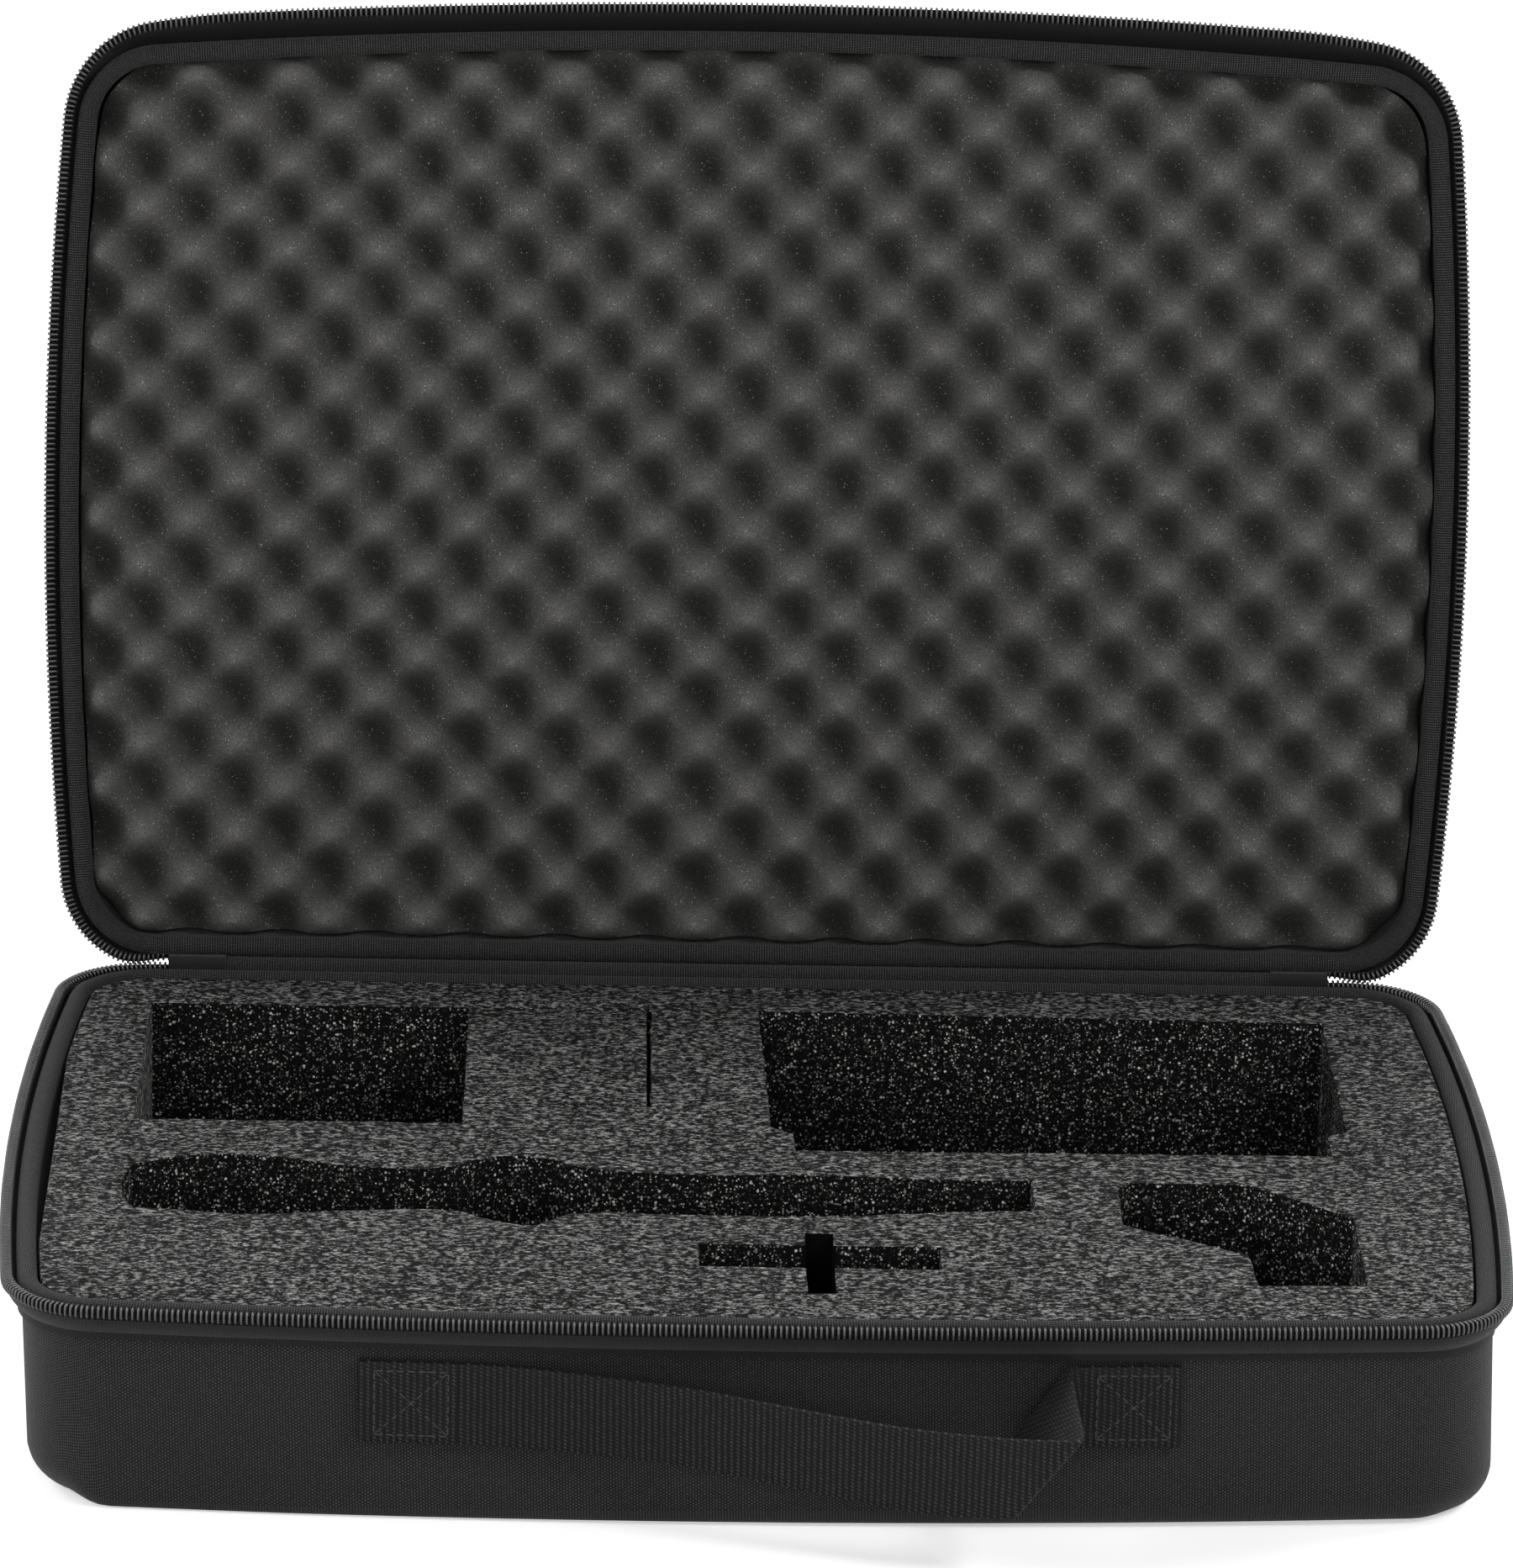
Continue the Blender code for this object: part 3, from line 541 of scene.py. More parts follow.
def binding_section():
    """Over the edge from outside to inside, and back along the hollow for the board."""
    outer = wall_inset - clearance - binding_cloth
    inner = inner_inset + clearance + binding_cloth
    middle, reach = (outer + inner) / 2, (inner - outer) / 2
    bottom = binding_top + binding_depth
    arc = [pi * i / bend_steps for i in range(bend_steps + 1)]
    crown = reach * binding_crown
    over = [(middle - reach * cos(a), binding_top + crown * (1 - sin(a))) for a in arc]
    hollow = [(inner - binding_cloth, bottom), (inner - binding_cloth, shell_top - clearance),
              (outer + binding_cloth, shell_top - clearance), (outer + binding_cloth, bottom)]
    return [(outer, bottom), *over, (inner, bottom), *hollow, (outer, bottom)]


for name, side, body in (("base_rim_binding", -1, "base"), ("lid_rim_binding", 1, "lid")):
    bm = wrap(binding_section(), binding_steps, side)
    if body == "lid":
        open_lid(bm)
    add_piece(name + "_tape", bm, body, "binding_tape", binding_tape, replaced=[name])


# Zip: a herringbone tape sewn to the wall below the binding leans out and carries a nylon coil
# on its edge, one thick thread wound round and round a cord. The lid's half stands loose along
# the front, and towards the hinge it draws in.
coil_radius = 0.0019
coil_drop = 0.0002
coil_pitch = 0.00165
coil_wire = 0.00040
coil_square = 0.6
coil_cross = 0.20
coil_cross_share = 0.35
coil_steps = 12
coil_depth = coil_drop + coil_radius
core_sides = 8
core_radius = 0.62 * coil_radius
tape_cloth = 0.0007
tape_drop = 0.0115
tape_sewn = 0.0020
zip_end = 0.1705

zip_weave = {"Along": 0.0010, "Across": 0.0006, "Stagger": 0.5, "Slant": 0.9, "Wide": 0.35,
             "Tall": 0.5, "Drift": 0.2}
zip_cloth = cloth_material("zip_cloth", (0.004, 0.004, 0.004), (0.009, 0.009, 0.009),
                           zip_weave, 0.85, 0.00008)
coil_nylon = plain_finish("coil_nylon", (0.030, 0.030, 0.030), 0.30, specular=0.6)
# The cord is coloured near-black, darker than the coil: painted shade in the gaps between the turns.
core_cord_painted_shade = plain_finish("core_cord_painted_shade", (0.003, 0.003, 0.003), 0.9, specular=0.1)

tape_steps = 400
tape_rows = 8
tape_bow = 0.0006
tape_seam = tape_drop - tape_sewn
tape_inner = wall_inset - clearance
tape_top = coil_drop + 2 * coil_radius + clearance
lid_zip_last = acos(1 - (half_depth - hinge_y + clearance) / corner_radius)
lid_zip_bend = back_corner_x + corner_radius * lid_zip_last
lid_zip_start = 0.1845
tuck_inset = 0.0024
tuck_depth = 0.0036
front_reach = half_corners[0][1]
loose_front = 0.0046
loose_fade = 0.07


def lean(share):
    """The tape's outer face between its sewn edge and the coil, bowing outwards a little."""
    low = (tape_inner - tape_cloth, tape_seam)
    high = (coil_radius - tape_cloth / 2, tape_top)
    bow = tape_bow * sin(pi * share)
    return low[0] + (high[0] - low[0]) * share - bow, low[1] + (high[1] - low[1]) * share


def tuck(run):
    """How far the lid's zip has drawn in towards its ends, from 0 to 1."""
    left = min(run, 2 * half_rim_length - run)
    return smooth_step((lid_zip_bend - left) / (lid_zip_bend - lid_zip_start))


def bow_out(run):
    """How far the lid's unzipped tape stands out along the front edge, from 0 to 1."""
    return smooth_step((front_reach - abs(half_rim_length - run)) / loose_fade)


outer = [lean(i / tape_rows) for i in range(tape_rows + 1)]
tape = [(tape_inner - tape_cloth, tape_drop), *outer, (coil_radius, tape_top - clearance)]
tape += [(inset + tape_cloth, depth) for inset, depth in reversed(outer)]
tape += [(tape_inner, tape_drop), (tape_inner - tape_cloth, tape_drop)]
ring = [2 * pi * i / core_sides for i in range(core_sides + 1)]
cord = [(coil_radius + core_radius * cos(a), coil_depth + core_radius * sin(a)) for a in ring]
for name, side, start, body in (
    ("base_zip", -1, zip_end, "base"),
    ("lid_zip", 1, lid_zip_start, "lid"),
):
    end = 2 * half_rim_length - start
    for label, section, cloth in (("_tape_cloth", tape, zip_cloth), ("_core", cord, core_cord_painted_shade)):

        def drawn_in(run, row):
            """On the lid it lies in and down at its ends, and out along the front."""
            inset, depth = section[row]
            share = tuck(run)
            free = min(max((tape_seam - depth) / (tape_seam - coil_radius), 0), 1)
            loose = loose_front * bow_out(run) * free
            return inset + tuck_inset * share - loose, depth + tuck_depth * share

        shift = drawn_in if body == "lid" else None
        bm = wrap(section, tape_steps, side, start, end, shift)
        cap_ends(bm)
        if body == "lid":
            open_lid(bm)
        hidden = [name + "_tape"] if section is tape else []
        add_piece(name + label, bm, body, "zip_cloth", cloth, replaced=hidden)

    turns = int((end - start) / coil_pitch)
    wound = coil_radius - coil_wire
    curve = bpy.data.curves.new(name + "_coil_wire", "CURVE")
    curve.dimensions = "3D"
    curve.bevel_depth = coil_wire
    curve.bevel_resolution = 1
    curve.use_fill_caps = True
    spline = curve.splines.new("POLY")
    spline.points.add(turns * coil_steps)
    for i, point in enumerate(spline.points):
        angle = 2 * pi * i / coil_steps
        onward = min(max((i % coil_steps / coil_steps - coil_cross) / coil_cross_share, 0), 1)
        run = start + coil_pitch * (i // coil_steps + onward)
        across, upright = (
            abs(f(angle)) ** coil_square * (1 if f(angle) > 0 else -1) for f in (cos, sin)
        )
        share = tuck(run) if body == "lid" else 0
        loose = loose_front * bow_out(run) if body == "lid" else 0
        x, y = rim_place(run, coil_radius - wound * across + tuck_inset * share - loose)
        depth = coil_depth + wound * upright + tuck_depth * share
        place = Vector((x, y, closing + side * depth))
        if body == "lid":
            place = hinge_line + lid_swing @ (place - hinge_line)
        point.co = (*place, 1)
    curve.materials.append(coil_nylon)
    coil = bpy.data.objects.new(name + "_coil_wire", curve)
    bpy.context.scene.collection.objects.link(coil)
    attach(coil, body)
    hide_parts(name + "_coil")


# Sliders, pullers and end stops: die-cast metal painted black. The sliders hold both coils, the
# pullers hang on their bails and the stops are crimped over the coils' ends.
slider_metal = plain_finish("slider_metal", (0.02, 0.02, 0.022), 0.3, metallic=0.8)
for name in ("zip_slider_left", "zip_slider_right", "zip_puller_left", "zip_puller_right",
             "zip_stop_left", "zip_stop_right"):
    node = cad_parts[name]
    node.data.materials.clear()
    node.data.materials.append(slider_metal)


# Hinge strip: the binding's own tape, woven wide, sewn over both back walls and bent along the
# hinge line. It is the case's only hinge, drawn bent to the open lid's angle.
hinge_cloth = 0.0009
strip_half = 0.1671
hinge_leg = 0.013
strip_outer_radius = 0.0019
strip_steps = 120


def strip_profile(radius, leg):
    """Up the base's back wall, round the hinge line and on along the open lid's wall."""
    bend = [pi - lid_open * i / bend_steps for i in range(bend_steps + 1)]
    arc = [Vector((radius * cos(a), radius * sin(a))) for a in bend]
    way = Vector((sin(bend[-1]), -cos(bend[-1])))
    return [Vector((-radius, -leg)), *arc, arc[-1] + way * leg]


def folded_strip(left, right, outer_radius, thickness, leg, columns):
    """Cloth bent over the hinge line between two places along it."""
    profile = strip_profile(outer_radius, leg)
    profile += strip_profile(outer_radius - thickness, leg)[::-1]
    profile.append(profile[0])
    across = lengths_along(profile)

    def cloth(share, row):
        return left + (right - left) * share, across[row]

    def place(share, row):
        x = left + (right - left) * share
        return x, hinge_y + profile[row].x, closing + profile[row].y

    bm = bent_sheet(columns, len(profile) - 1, cloth, place)
    cap_ends(bm)
    return bm


bm = folded_strip(-strip_half, strip_half, strip_outer_radius, hinge_cloth, hinge_leg, strip_steps)
strip = add_piece("hinge_strip_tape", bm, None, "binding_tape", binding_tape,
                  replaced=["hinge_strip"])
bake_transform(strip)


# Zip end cloths: past the strip, the ends of the zip's two tapes are turned and sewn together
# over the same line, one at each side.
tab_end = 0.1842
tab_overlap = 0.001
tab_steps = 12
tab_radius = 0.0024
tab_cloth = 0.0003
tab_leg = 0.0060
for word, hand in (("left", -1), ("right", 1)):
    left, right = sorted((hand * (strip_half - tab_overlap), hand * tab_end))
    bm = folded_strip(left, right, tab_radius, tab_cloth, tab_leg, tab_steps)
    tab = add_piece("zip_end_cloth_" + word, bm, None, "zip_cloth", zip_cloth)
    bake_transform(tab)


# Handle strap: one length of ribbed webbing. The free part hangs out and down from its left end.
# At the right it turns back to the wall over a slanting fold and again, the other way, into its
# sewn end.
webbing_width = 0.0254
webbing_sheet = 0.0016
webbing_flats = 16
webbing_round = 0.0008
strap_steps = 320

webbing_weave = {"Along": 0.0019, "Across": 0.00115, "Stagger": 0.5, "Slant": 0.42, "Wide": 0.27,
                 "Tall": 0.48, "Drift": 0.30}
webbing = cloth_material("webbing", (0.001, 0.001, 0.001), (0.033, 0.033, 0.032), webbing_weave,
                         0.70, 0.0006, sheen=0.02)


# The strap's upper and lower edge at each station, from the left sewn end to the right one
strap_stations = (
    ((-0.0862, -0.1476, 0.0504), (-0.0862, -0.1476, 0.0250)),
    ((-0.0800, -0.1480, 0.0504), (-0.0800, -0.1479, 0.0250)),
    ((-0.0634, -0.1500, 0.0500), (-0.0638, -0.1492, 0.0246)),
    ((-0.0392, -0.1555, 0.0494), (-0.0405, -0.1530, 0.0241)),
    ((-0.0176, -0.1610, 0.0487), (-0.0197, -0.1585, 0.0237)),
    ((0.0041, -0.1668, 0.0470), (0.0010, -0.1645, 0.0221)),
    ((0.0256, -0.1725, 0.0453), (0.0214, -0.1705, 0.0203)),
    ((0.0426, -0.1770, 0.0444), (0.0363, -0.1750, 0.0190)),
    ((0.0590, -0.1808, 0.0442), (0.0485, -0.1790, 0.0188)),
    ((0.0745, -0.1832, 0.0441), (0.0597, -0.1815, 0.0190)),
    ((0.0864, -0.1840, 0.0442), (0.0687, -0.1836, 0.0196)),
    ((0.0913, -0.1832, 0.0441), (0.0727, -0.1833, 0.0200)),
    ((0.0923, -0.1795, 0.0446), (0.0736, -0.1798, 0.0209)),
    ((0.0915, -0.1700, 0.0471), (0.0734, -0.1700, 0.0247)),
    ((0.0902, -0.1595, 0.0512), (0.0733, -0.1595, 0.0291)),
    ((0.0895, -0.1535, 0.0530), (0.0739, -0.1538, 0.0314)),
    ((0.0900, -0.1505, 0.0530), (0.0778, -0.1512, 0.0310)),
    ((0.0912, -0.1484, 0.0524), (0.0850, -0.1492, 0.0286)),
    ((0.0932, -0.1474, 0.0522), (0.0932, -0.1474, 0.0268)),
)


def through(stations, t):
    """A pair of edge points on the smooth curve through the stations, t from 0 to 1."""
    last = len(stations) - 1
    k = min(int(t * last), last - 1)
    u = t * last - k
    near = [stations[min(max(k + i, 0), last)] for i in (-1, 0, 1, 2)]
    weights = (
        (-u + 2 * u**2 - u**3) / 2,
        (2 - 5 * u**2 + 3 * u**3) / 2,
        (u + 4 * u**2 - 3 * u**3) / 2,
        (-(u**2) + u**3) / 2,
    )
    return [sum((w * Vector(p[end]) for w, p in zip(weights, near)), Vector()) for end in (0, 1)]


def webbing_section():
    """Round-edged flat section, as shares of the half width and half thickness."""
    edge = webbing_round / (webbing_width / 2)
    flats = [-1 + edge + (2 - 2 * edge) * i / webbing_flats for i in range(webbing_flats + 1)]
    front = [(s, -1.0) for s in flats]
    back = [(s, 1.0) for s in reversed(flats)]
    shoulder = 1 - edge * 0.3
    return [*front, (shoulder, -0.7), (1.0, 0.0), (shoulder, 0.7), *back,
            (-shoulder, 0.7), (-1.0, 0.0), (-shoulder, -0.7), front[0]]


def ribbon(stations, sheet):
    """Webbing between two edges in space. UV holds metres along each edge and across."""
    section = webbing_section()
    steps = len(stations) - 1
    upper, lower = (lengths_along([pair[edge] for pair in stations]) for edge in (0, 1))

    def cloth(share, row):
        i = round(share * steps)
        rise = section[row][0] / 2 + 0.5
        return lower[i] + (upper[i] - lower[i]) * rise, rise * webbing_width

    def place(share, row):
        i = round(share * steps)
        tall, thick = section[row]
        top, low = stations[i]
        near, far = stations[max(i - 1, 0)], stations[min(i + 1, steps)]
        run = (far[0] + far[1] - near[0] - near[1]).normalized()
        if i in (0, steps):
            run = Vector((1, 0, 0))
        inwards = run.cross(top - low).normalized()
        return (top + low) / 2 + (top - low) * tall / 2 + inwards * (thick * sheet / 2)

    bm = bent_sheet(steps, len(section) - 1, cloth, place)
    cap_ends(bm)
    return bm


strap = [through(strap_stations, i / strap_steps) for i in range(strap_steps + 1)]
add_piece("handle_strap_webbing", ribbon(strap, webbing_sheet), "handle", "webbing", webbing,
          replaced=["handle_strap"])


# Handle ends: at each end the webbing lies doubled on the wall and is sewn through to a stiff
# patch behind, with a box of stitches and a cross in it.
handle_left = -0.0860
handle_right = 0.0930
left_middle = 0.0377
right_middle = 0.0395
patch_length = 0.0290
patch_sheet = 0.0026
patch_face = wall_inset - clearance
patch_steps = 60
stitch_thread = plain_finish("stitch_thread", (0.005, 0.005, 0.005), 0.5)
stitch_size = (0.0026, 0.0004, 0.0005)
stitch_pitch = 0.0031
stitch_margin = 0.0028

for word, edge, way, middle in (
    ("left", handle_left, -1, left_middle),
    ("right", handle_right, 1, right_middle),
):
    left, right = sorted((edge + way * clearance, edge + way * patch_length))
    top, bottom = middle + webbing_width / 2, middle - webbing_width / 2
    pairs = []
    for i in range(patch_steps + 1):
        x = left + (right - left) * i / patch_steps
        y = front_wall_y(x, patch_face) - patch_sheet / 2
        pairs.append([Vector((x, y, top)), Vector((x, y, bottom))])
    add_piece("handle_end_" + word + "_webbing", ribbon(pairs, patch_sheet), "base", "webbing",
              webbing, replaced=["handle_end_" + word])

    x0, x1 = left + stitch_margin * 1.6, right - stitch_margin
    z0, z1 = bottom + stitch_margin, top - stitch_margin
    box_and_cross = (
        (x0, z0, x1, z0), (x1, z0, x1, z1), (x1, z1, x0, z1), (x0, z1, x0, z0),
        (x0, z0, x1, z1), (x0, z1, x1, z0),
    )
    bm = bmesh.new()
    for ax, az, bx, bz in box_and_cross:
        length = sqrt((bx - ax) ** 2 + (bz - az) ** 2)
        count = max(2, round(length / stitch_pitch))
        angle = atan2(bz - az, bx - ax)
        for i in range(count):
            t = (i + 0.5) / count
            x, z = ax + (bx - ax) * t, az + (bz - az) * t
            y = front_wall_y(x, patch_face) - patch_sheet
            made = bmesh.ops.create_uvsphere(bm, u_segments=6, v_segments=4, radius=0.5)["verts"]
            bmesh.ops.scale(bm, vec=stitch_size, verts=made)
            bmesh.ops.rotate(bm, cent=(0, 0, 0), matrix=Matrix.Rotation(-angle, 3, "Y"), verts=made)
            bmesh.ops.translate(bm, vec=(x, y, z), verts=made)
    add_piece("handle_end_" + word + "_stitches", bm, "base", "webbing", stitch_thread)
    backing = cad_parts["handle_backing_" + word]
    backing.data.materials.clear()
    backing.data.materials.append(lining_cloth)


# Base foam: a plain pad on the floor of the shell and, over it, the thick insert, cut from
# planks of closed-cell foam. Cut faces show the open cells, with painted glints off their film;
# the top is skived into streaks, made lighter partly by painted glints.
foam_top = closing - 0.0020
insert_low = 0.0144
insert_inset = 0.0116


def make_streak_group():
    """Cells drawn out by the skiving knife into short dashes, lighter than the ground: the cut grain
    together with painted glints off their glossy faces.
    """
    group, inner, outer = new_group("streaks", (), ("Height", "Mask"))
    grain = add_node(group, "ShaderNodeTexNoise", {"Scale": 1.0, "Detail": 3.0, "Roughness": 0.70},
                     {"Vector": inner.outputs["Vector"]})
    dash = add_node(group, "ShaderNodeMapRange", {"From Min": 0.49, "From Max": 0.70},
                    {"Value": grain.outputs[0]})
    group.links.new(grain.outputs[0], outer.inputs["Height"])
    group.links.new(dash.outputs[0], outer.inputs["Mask"])
    return group


def make_glint_group():
    """Painted glints: bits of cell film drawn bright into the colour, standing in for the light they
    catch, on some cells: fewer as Rarity goes up, bright at the Core of the cell and gone at its Edge."""
    group, inner, outer = new_group("glints", ("Scale", "Rarity", "Edge", "Core"), ("Mask",))
    fed = inner.outputs
    cells = add_node(group, "ShaderNodeTexVoronoi",
                     links={"Vector": fed["Vector"], "Scale": fed["Scale"]})
    chance = add_node(group, "ShaderNodeSeparateColor", links={0: cells.outputs["Color"]})
    rare = add_node(group, "ShaderNodeMath", operation="POWER",
                    links={0: chance.outputs[0], 1: fed["Rarity"]})
    film = add_node(group, "ShaderNodeMapRange",
                    links={"Value": cells.outputs["Distance"], "From Min": fed["Edge"],
                           "From Max": fed["Core"]})
    mask = add_node(group, "ShaderNodeMath", operation="MULTIPLY",
                    links={0: rare.outputs[0], 1: film.outputs[0]})
    group.links.new(mask.outputs[0], outer.inputs["Mask"])
    return group


streak_group = make_streak_group()
glint_group = make_glint_group()


def add_glints(tree, place, values):
    """The mask of the painted glints off bits of film, on the piece's own coordinates."""
    node = add_node(tree, "ShaderNodeGroup", values, {"Vector": place.outputs["Object"]},
                    node_tree=glint_group)
    return node.outputs["Mask"]


def two_tone(tree, dark, light, share):
    """A colour from dark to light, as the share goes from 0 to 1."""
    ramp = add_node(tree, "ShaderNodeValToRGB", links={"Fac": share})
    ramp.color_ramp.elements[0].color = (*dark, 1)
    ramp.color_ramp.elements[1].color = (*light, 1)
    return ramp.outputs[0]


def skived_foam(name, grain_scale, bright):
    """A skived face: short light dashes on a dark ground, partly grain and partly painted glints, and
    a drift in tone.
    """
    material, tree, shader = new_material(name)
    place = add_node(tree, "ShaderNodeTexCoord")
    stretch = add_node(tree, "ShaderNodeMapping", {"Scale": grain_scale},
                       {"Vector": place.outputs["Object"]})
    streaks = add_node(tree, "ShaderNodeGroup", links={"Vector": stretch.outputs[0]},
                       node_tree=streak_group)
    colour = two_tone(tree, (0.0045, 0.0045, 0.0043), bright, streaks.outputs["Mask"])
    drift = {"Scale": 70.0, "Detail": 2.0, "Least": 0.7, "Most": 1.3}
    tree.links.new(mottle(tree, colour, drift), shader.inputs["Base Color"])
    shader.inputs["Roughness"].default_value = 0.7
    shader.inputs["Specular IOR Level"].default_value = 0.04
    bump = add_node(tree, "ShaderNodeBump", {"Strength": 1.0, "Distance": 0.0004},
                    {"Height": streaks.outputs["Height"]})
    tree.links.new(bump.outputs[0], shader.inputs["Normal"])
    return material


insert_top = skived_foam("insert_top", (540, 930, 930), (0.305, 0.305, 0.300))
insert_side = skived_foam("insert_side", (1300, 1300, 480), (0.40, 0.40, 0.39))
slot_shade = plain_finish("slot_shade", (0.0035, 0.0035, 0.0035), 1.0, specular=0.0)

insert_cut, tree, shader = new_material("insert_cut")
place = add_node(tree, "ShaderNodeTexCoord")
# Painted glints: bright specks in the colour stand in for light caught by the cut cells' film.
coarse = add_glints(tree, place, {"Scale": 950.0, "Rarity": 12.0, "Edge": 0.50, "Core": 0.25})
fine = add_glints(tree, place, {"Scale": 1700.0, "Rarity": 11.0, "Edge": 0.55, "Core": 0.275})
both = add_node(tree, "ShaderNodeMath", operation="ADD", links={0: coarse, 1: fine})
colour = two_tone(tree, (0.0015, 0.0015, 0.0014), (0.60, 0.60, 0.58), both.outputs[0])
tree.links.new(colour, shader.inputs["Base Color"])
shader.inputs["Roughness"].default_value = 0.8
shader.inputs["Specular IOR Level"].default_value = 0.05

# A fixed seed, so that each run cuts the same foam
noise.seed_set(1)
cut_step = 0.0012
wander_scale = 90
jitter_scale = 700
jitter_share = 0.4
corner_share = 0.25


def hand_cut(points, wave, seed):
    """Walks round a closed outline at an even step, with the small wander of a hand-fed cut."""
    walked = []
    for (ax, ay), (bx, by) in zip(points, [*points[1:], points[0]]):
        length = sqrt((bx - ax) ** 2 + (by - ay) ** 2)
        count = max(1, int(length / cut_step))
        for i in range(count):
            t = i / count
            x, y = ax + (bx - ax) * t, ay + (by - ay) * t
            if i:
                wander = noise.noise_vector(Vector((x * wander_scale, y * wander_scale, seed)))
                jitter = noise.noise_vector(Vector((x * jitter_scale, y * jitter_scale, seed)))
                x += wave * (wander.x + jitter_share * jitter.x)
                y += wave * (wander.y + jitter_share * jitter.y)
            walked.append((x, y))
    return walked


def corners_cut(points):
    """A closed outline with two points for each corner, so that it curves."""
    rounded = []
    for (ax, ay), (bx, by) in zip(points, [*points[1:], points[0]]):
        for share in (corner_share, 1 - corner_share):
            rounded.append((ax * (1 - share) + bx * share, ay * (1 - share) + by * share))
    return rounded


receiver = ((-0.1881, 0.1184), (-0.1881, 0.0154), (-0.0886, 0.0154), (-0.0886, 0.0324),
            (-0.0311, 0.0324), (-0.0311, 0.1184))
gear = ((0.0029, 0.1193), (0.0056, 0.0160), (0.0122, 0.0105), (0.0129, -0.0037),
        (0.1749, -0.0018), (0.1749, 0.0154), (0.1809, 0.0191), (0.1799, 0.1157))
microphone = ((-0.1884, -0.0262), (-0.1816, -0.0210), (-0.1640, -0.0135), (-0.1424, -0.0161),
              (-0.1235, -0.0230), (-0.0938, -0.0251), (-0.0803, -0.0126), (-0.0641, -0.0120),
              (-0.0506, -0.0230), (-0.0196, -0.0265), (0.0155, -0.0242), (0.0560, -0.0274),
              (0.0830, -0.0265), (0.0830, -0.0512), (0.0479, -0.0543), (0.0236, -0.0590),
              (-0.0196, -0.0590), (-0.0533, -0.0572), (-0.0620, -0.0665), (-0.0663, -0.0700),
              (-0.0790, -0.0659), (-0.0890, -0.0567), (-0.1208, -0.0590), (-0.1438, -0.0636),
              (-0.1559, -0.0636), (-0.1721, -0.0606), (-0.1884, -0.0590))
cross_slot = ((-0.0170, -0.1001), (0.0145, -0.1001), (0.0145, -0.1203), (0.0225, -0.1203),
              (0.0225, -0.1001), (0.0539, -0.1001), (0.0539, -0.0826), (0.0225, -0.0826),
              (0.0225, -0.0728), (0.0145, -0.0728), (0.0145, -0.0826), (-0.0170, -0.0826))
clip = ((0.1089, -0.0330), (0.1089, -0.0617), (0.1448, -0.0846), (0.1462, -0.1092),
        (0.1779, -0.1076), (0.1779, -0.0543), (0.1620, -0.0395), (0.1469, -0.0272),
        (0.1130, -0.0272))

# The insert's ends, as pairs of y and x from the back to the front
insert_left = ((0.16, -0.2126), (0.0957, -0.2119), (0.0100, -0.2111), (-0.1009, -0.2104),
               (-0.16, -0.2100))
insert_right = ((0.16, 0.2080), (0.1095, 0.2100), (0.0417, 0.2131), (-0.0231, 0.2146),
                (-0.0806, 0.2143), (-0.16, 0.2142))
insert_steps = 360


def along_line(points, y):
    """The line's x at this y."""
    for (near, x0), (far, x1) in zip(points, points[1:]):
        if y >= far:
            return x1 + (x0 - x1) * (y - far) / (near - far)
    return points[-1][1]


insert_loop = []
for i in range(insert_steps):
    x, y = rim_place(2 * half_rim_length * i / insert_steps, insert_inset)
    insert_loop.append((min(max(x, along_line(insert_left, y)), along_line(insert_right, y)), y))


def prism(outlines, low, high):
    """Solids with upright walls over flat outlines."""
    bm = bmesh.new()
    for outline in outlines:
        face = bm.faces.new([bm.verts.new((x, y, low)) for x, y in outline])
        grown = bmesh.ops.extrude_face_region(bm, geom=[face])["geom"]
        tops = [item for item in grown if isinstance(item, bmesh.types.BMVert)]
        bmesh.ops.translate(bm, vec=(0, 0, high - low), verts=tops)
    bmesh.ops.recalc_face_normals(bm, faces=bm.faces)
    return bm


def cut_away(bm, cutter_bm):
    """The first solid less the second, by an exact Boolean."""
    pair = []
    for label, shape in (("body", bm), ("cutter", cutter_bm)):
        mesh = bpy.data.meshes.new(label)
        shape.to_mesh(mesh)
        shape.free()
        obj = bpy.data.objects.new(label, mesh)
        bpy.context.scene.collection.objects.link(obj)
        pair.append(obj)
    solid, cutter = pair
    boolean = solid.modifiers.new("pockets", "BOOLEAN")
    boolean.object = cutter
    boolean.solver = "EXACT"
    graph = bpy.context.evaluated_depsgraph_get()
    result = bpy.data.meshes.new_from_object(solid.evaluated_get(graph))
    for obj in pair:
        bpy.data.objects.remove(obj)
    bm = bmesh.new()
    bm.from_mesh(result)
    bpy.data.meshes.remove(result)
    return bm


level_gap = 1e-5
sharp_corner = radians(60)


def soften_top(bm, top, width):
    """Rounds the edges of the top face a little."""
    edges = [edge for edge in bm.edges
             if all(abs(vert.co.z - top) < level_gap for vert in edge.verts)
             and edge.calc_face_angle(0) > sharp_corner]
    bmesh.ops.bevel(bm, geom=edges, offset=width, segments=2, profile=0.5, affect="EDGES",
                    material=-1)
    bm.normal_update()


# The microphone's pocket is rounded all round but for its square right end
microphone_loop = corners_cut(microphone)
square_end = microphone.index((0.0830, -0.0265))
microphone_loop[2 * square_end - 1 : 2 * square_end + 2] = microphone[square_end : square_end + 2]

pockets = ((receiver, 0.0006), (gear, 0.0006), (microphone_loop, 0.0004), (cross_slot, 0.0003),
           (clip, 0.0005))
outlines = [hand_cut(points, wave, seed) for seed, (points, wave) in enumerate(pockets, 1)]
knife_over = 0.01
top_rounding = 0.0007
top_facing = 0.5
side_facing = 0.8
skived_wall_x = -0.17
deep_slot_left, deep_slot_right, deep_slot_back = 0.0135, 0.0235, -0.07

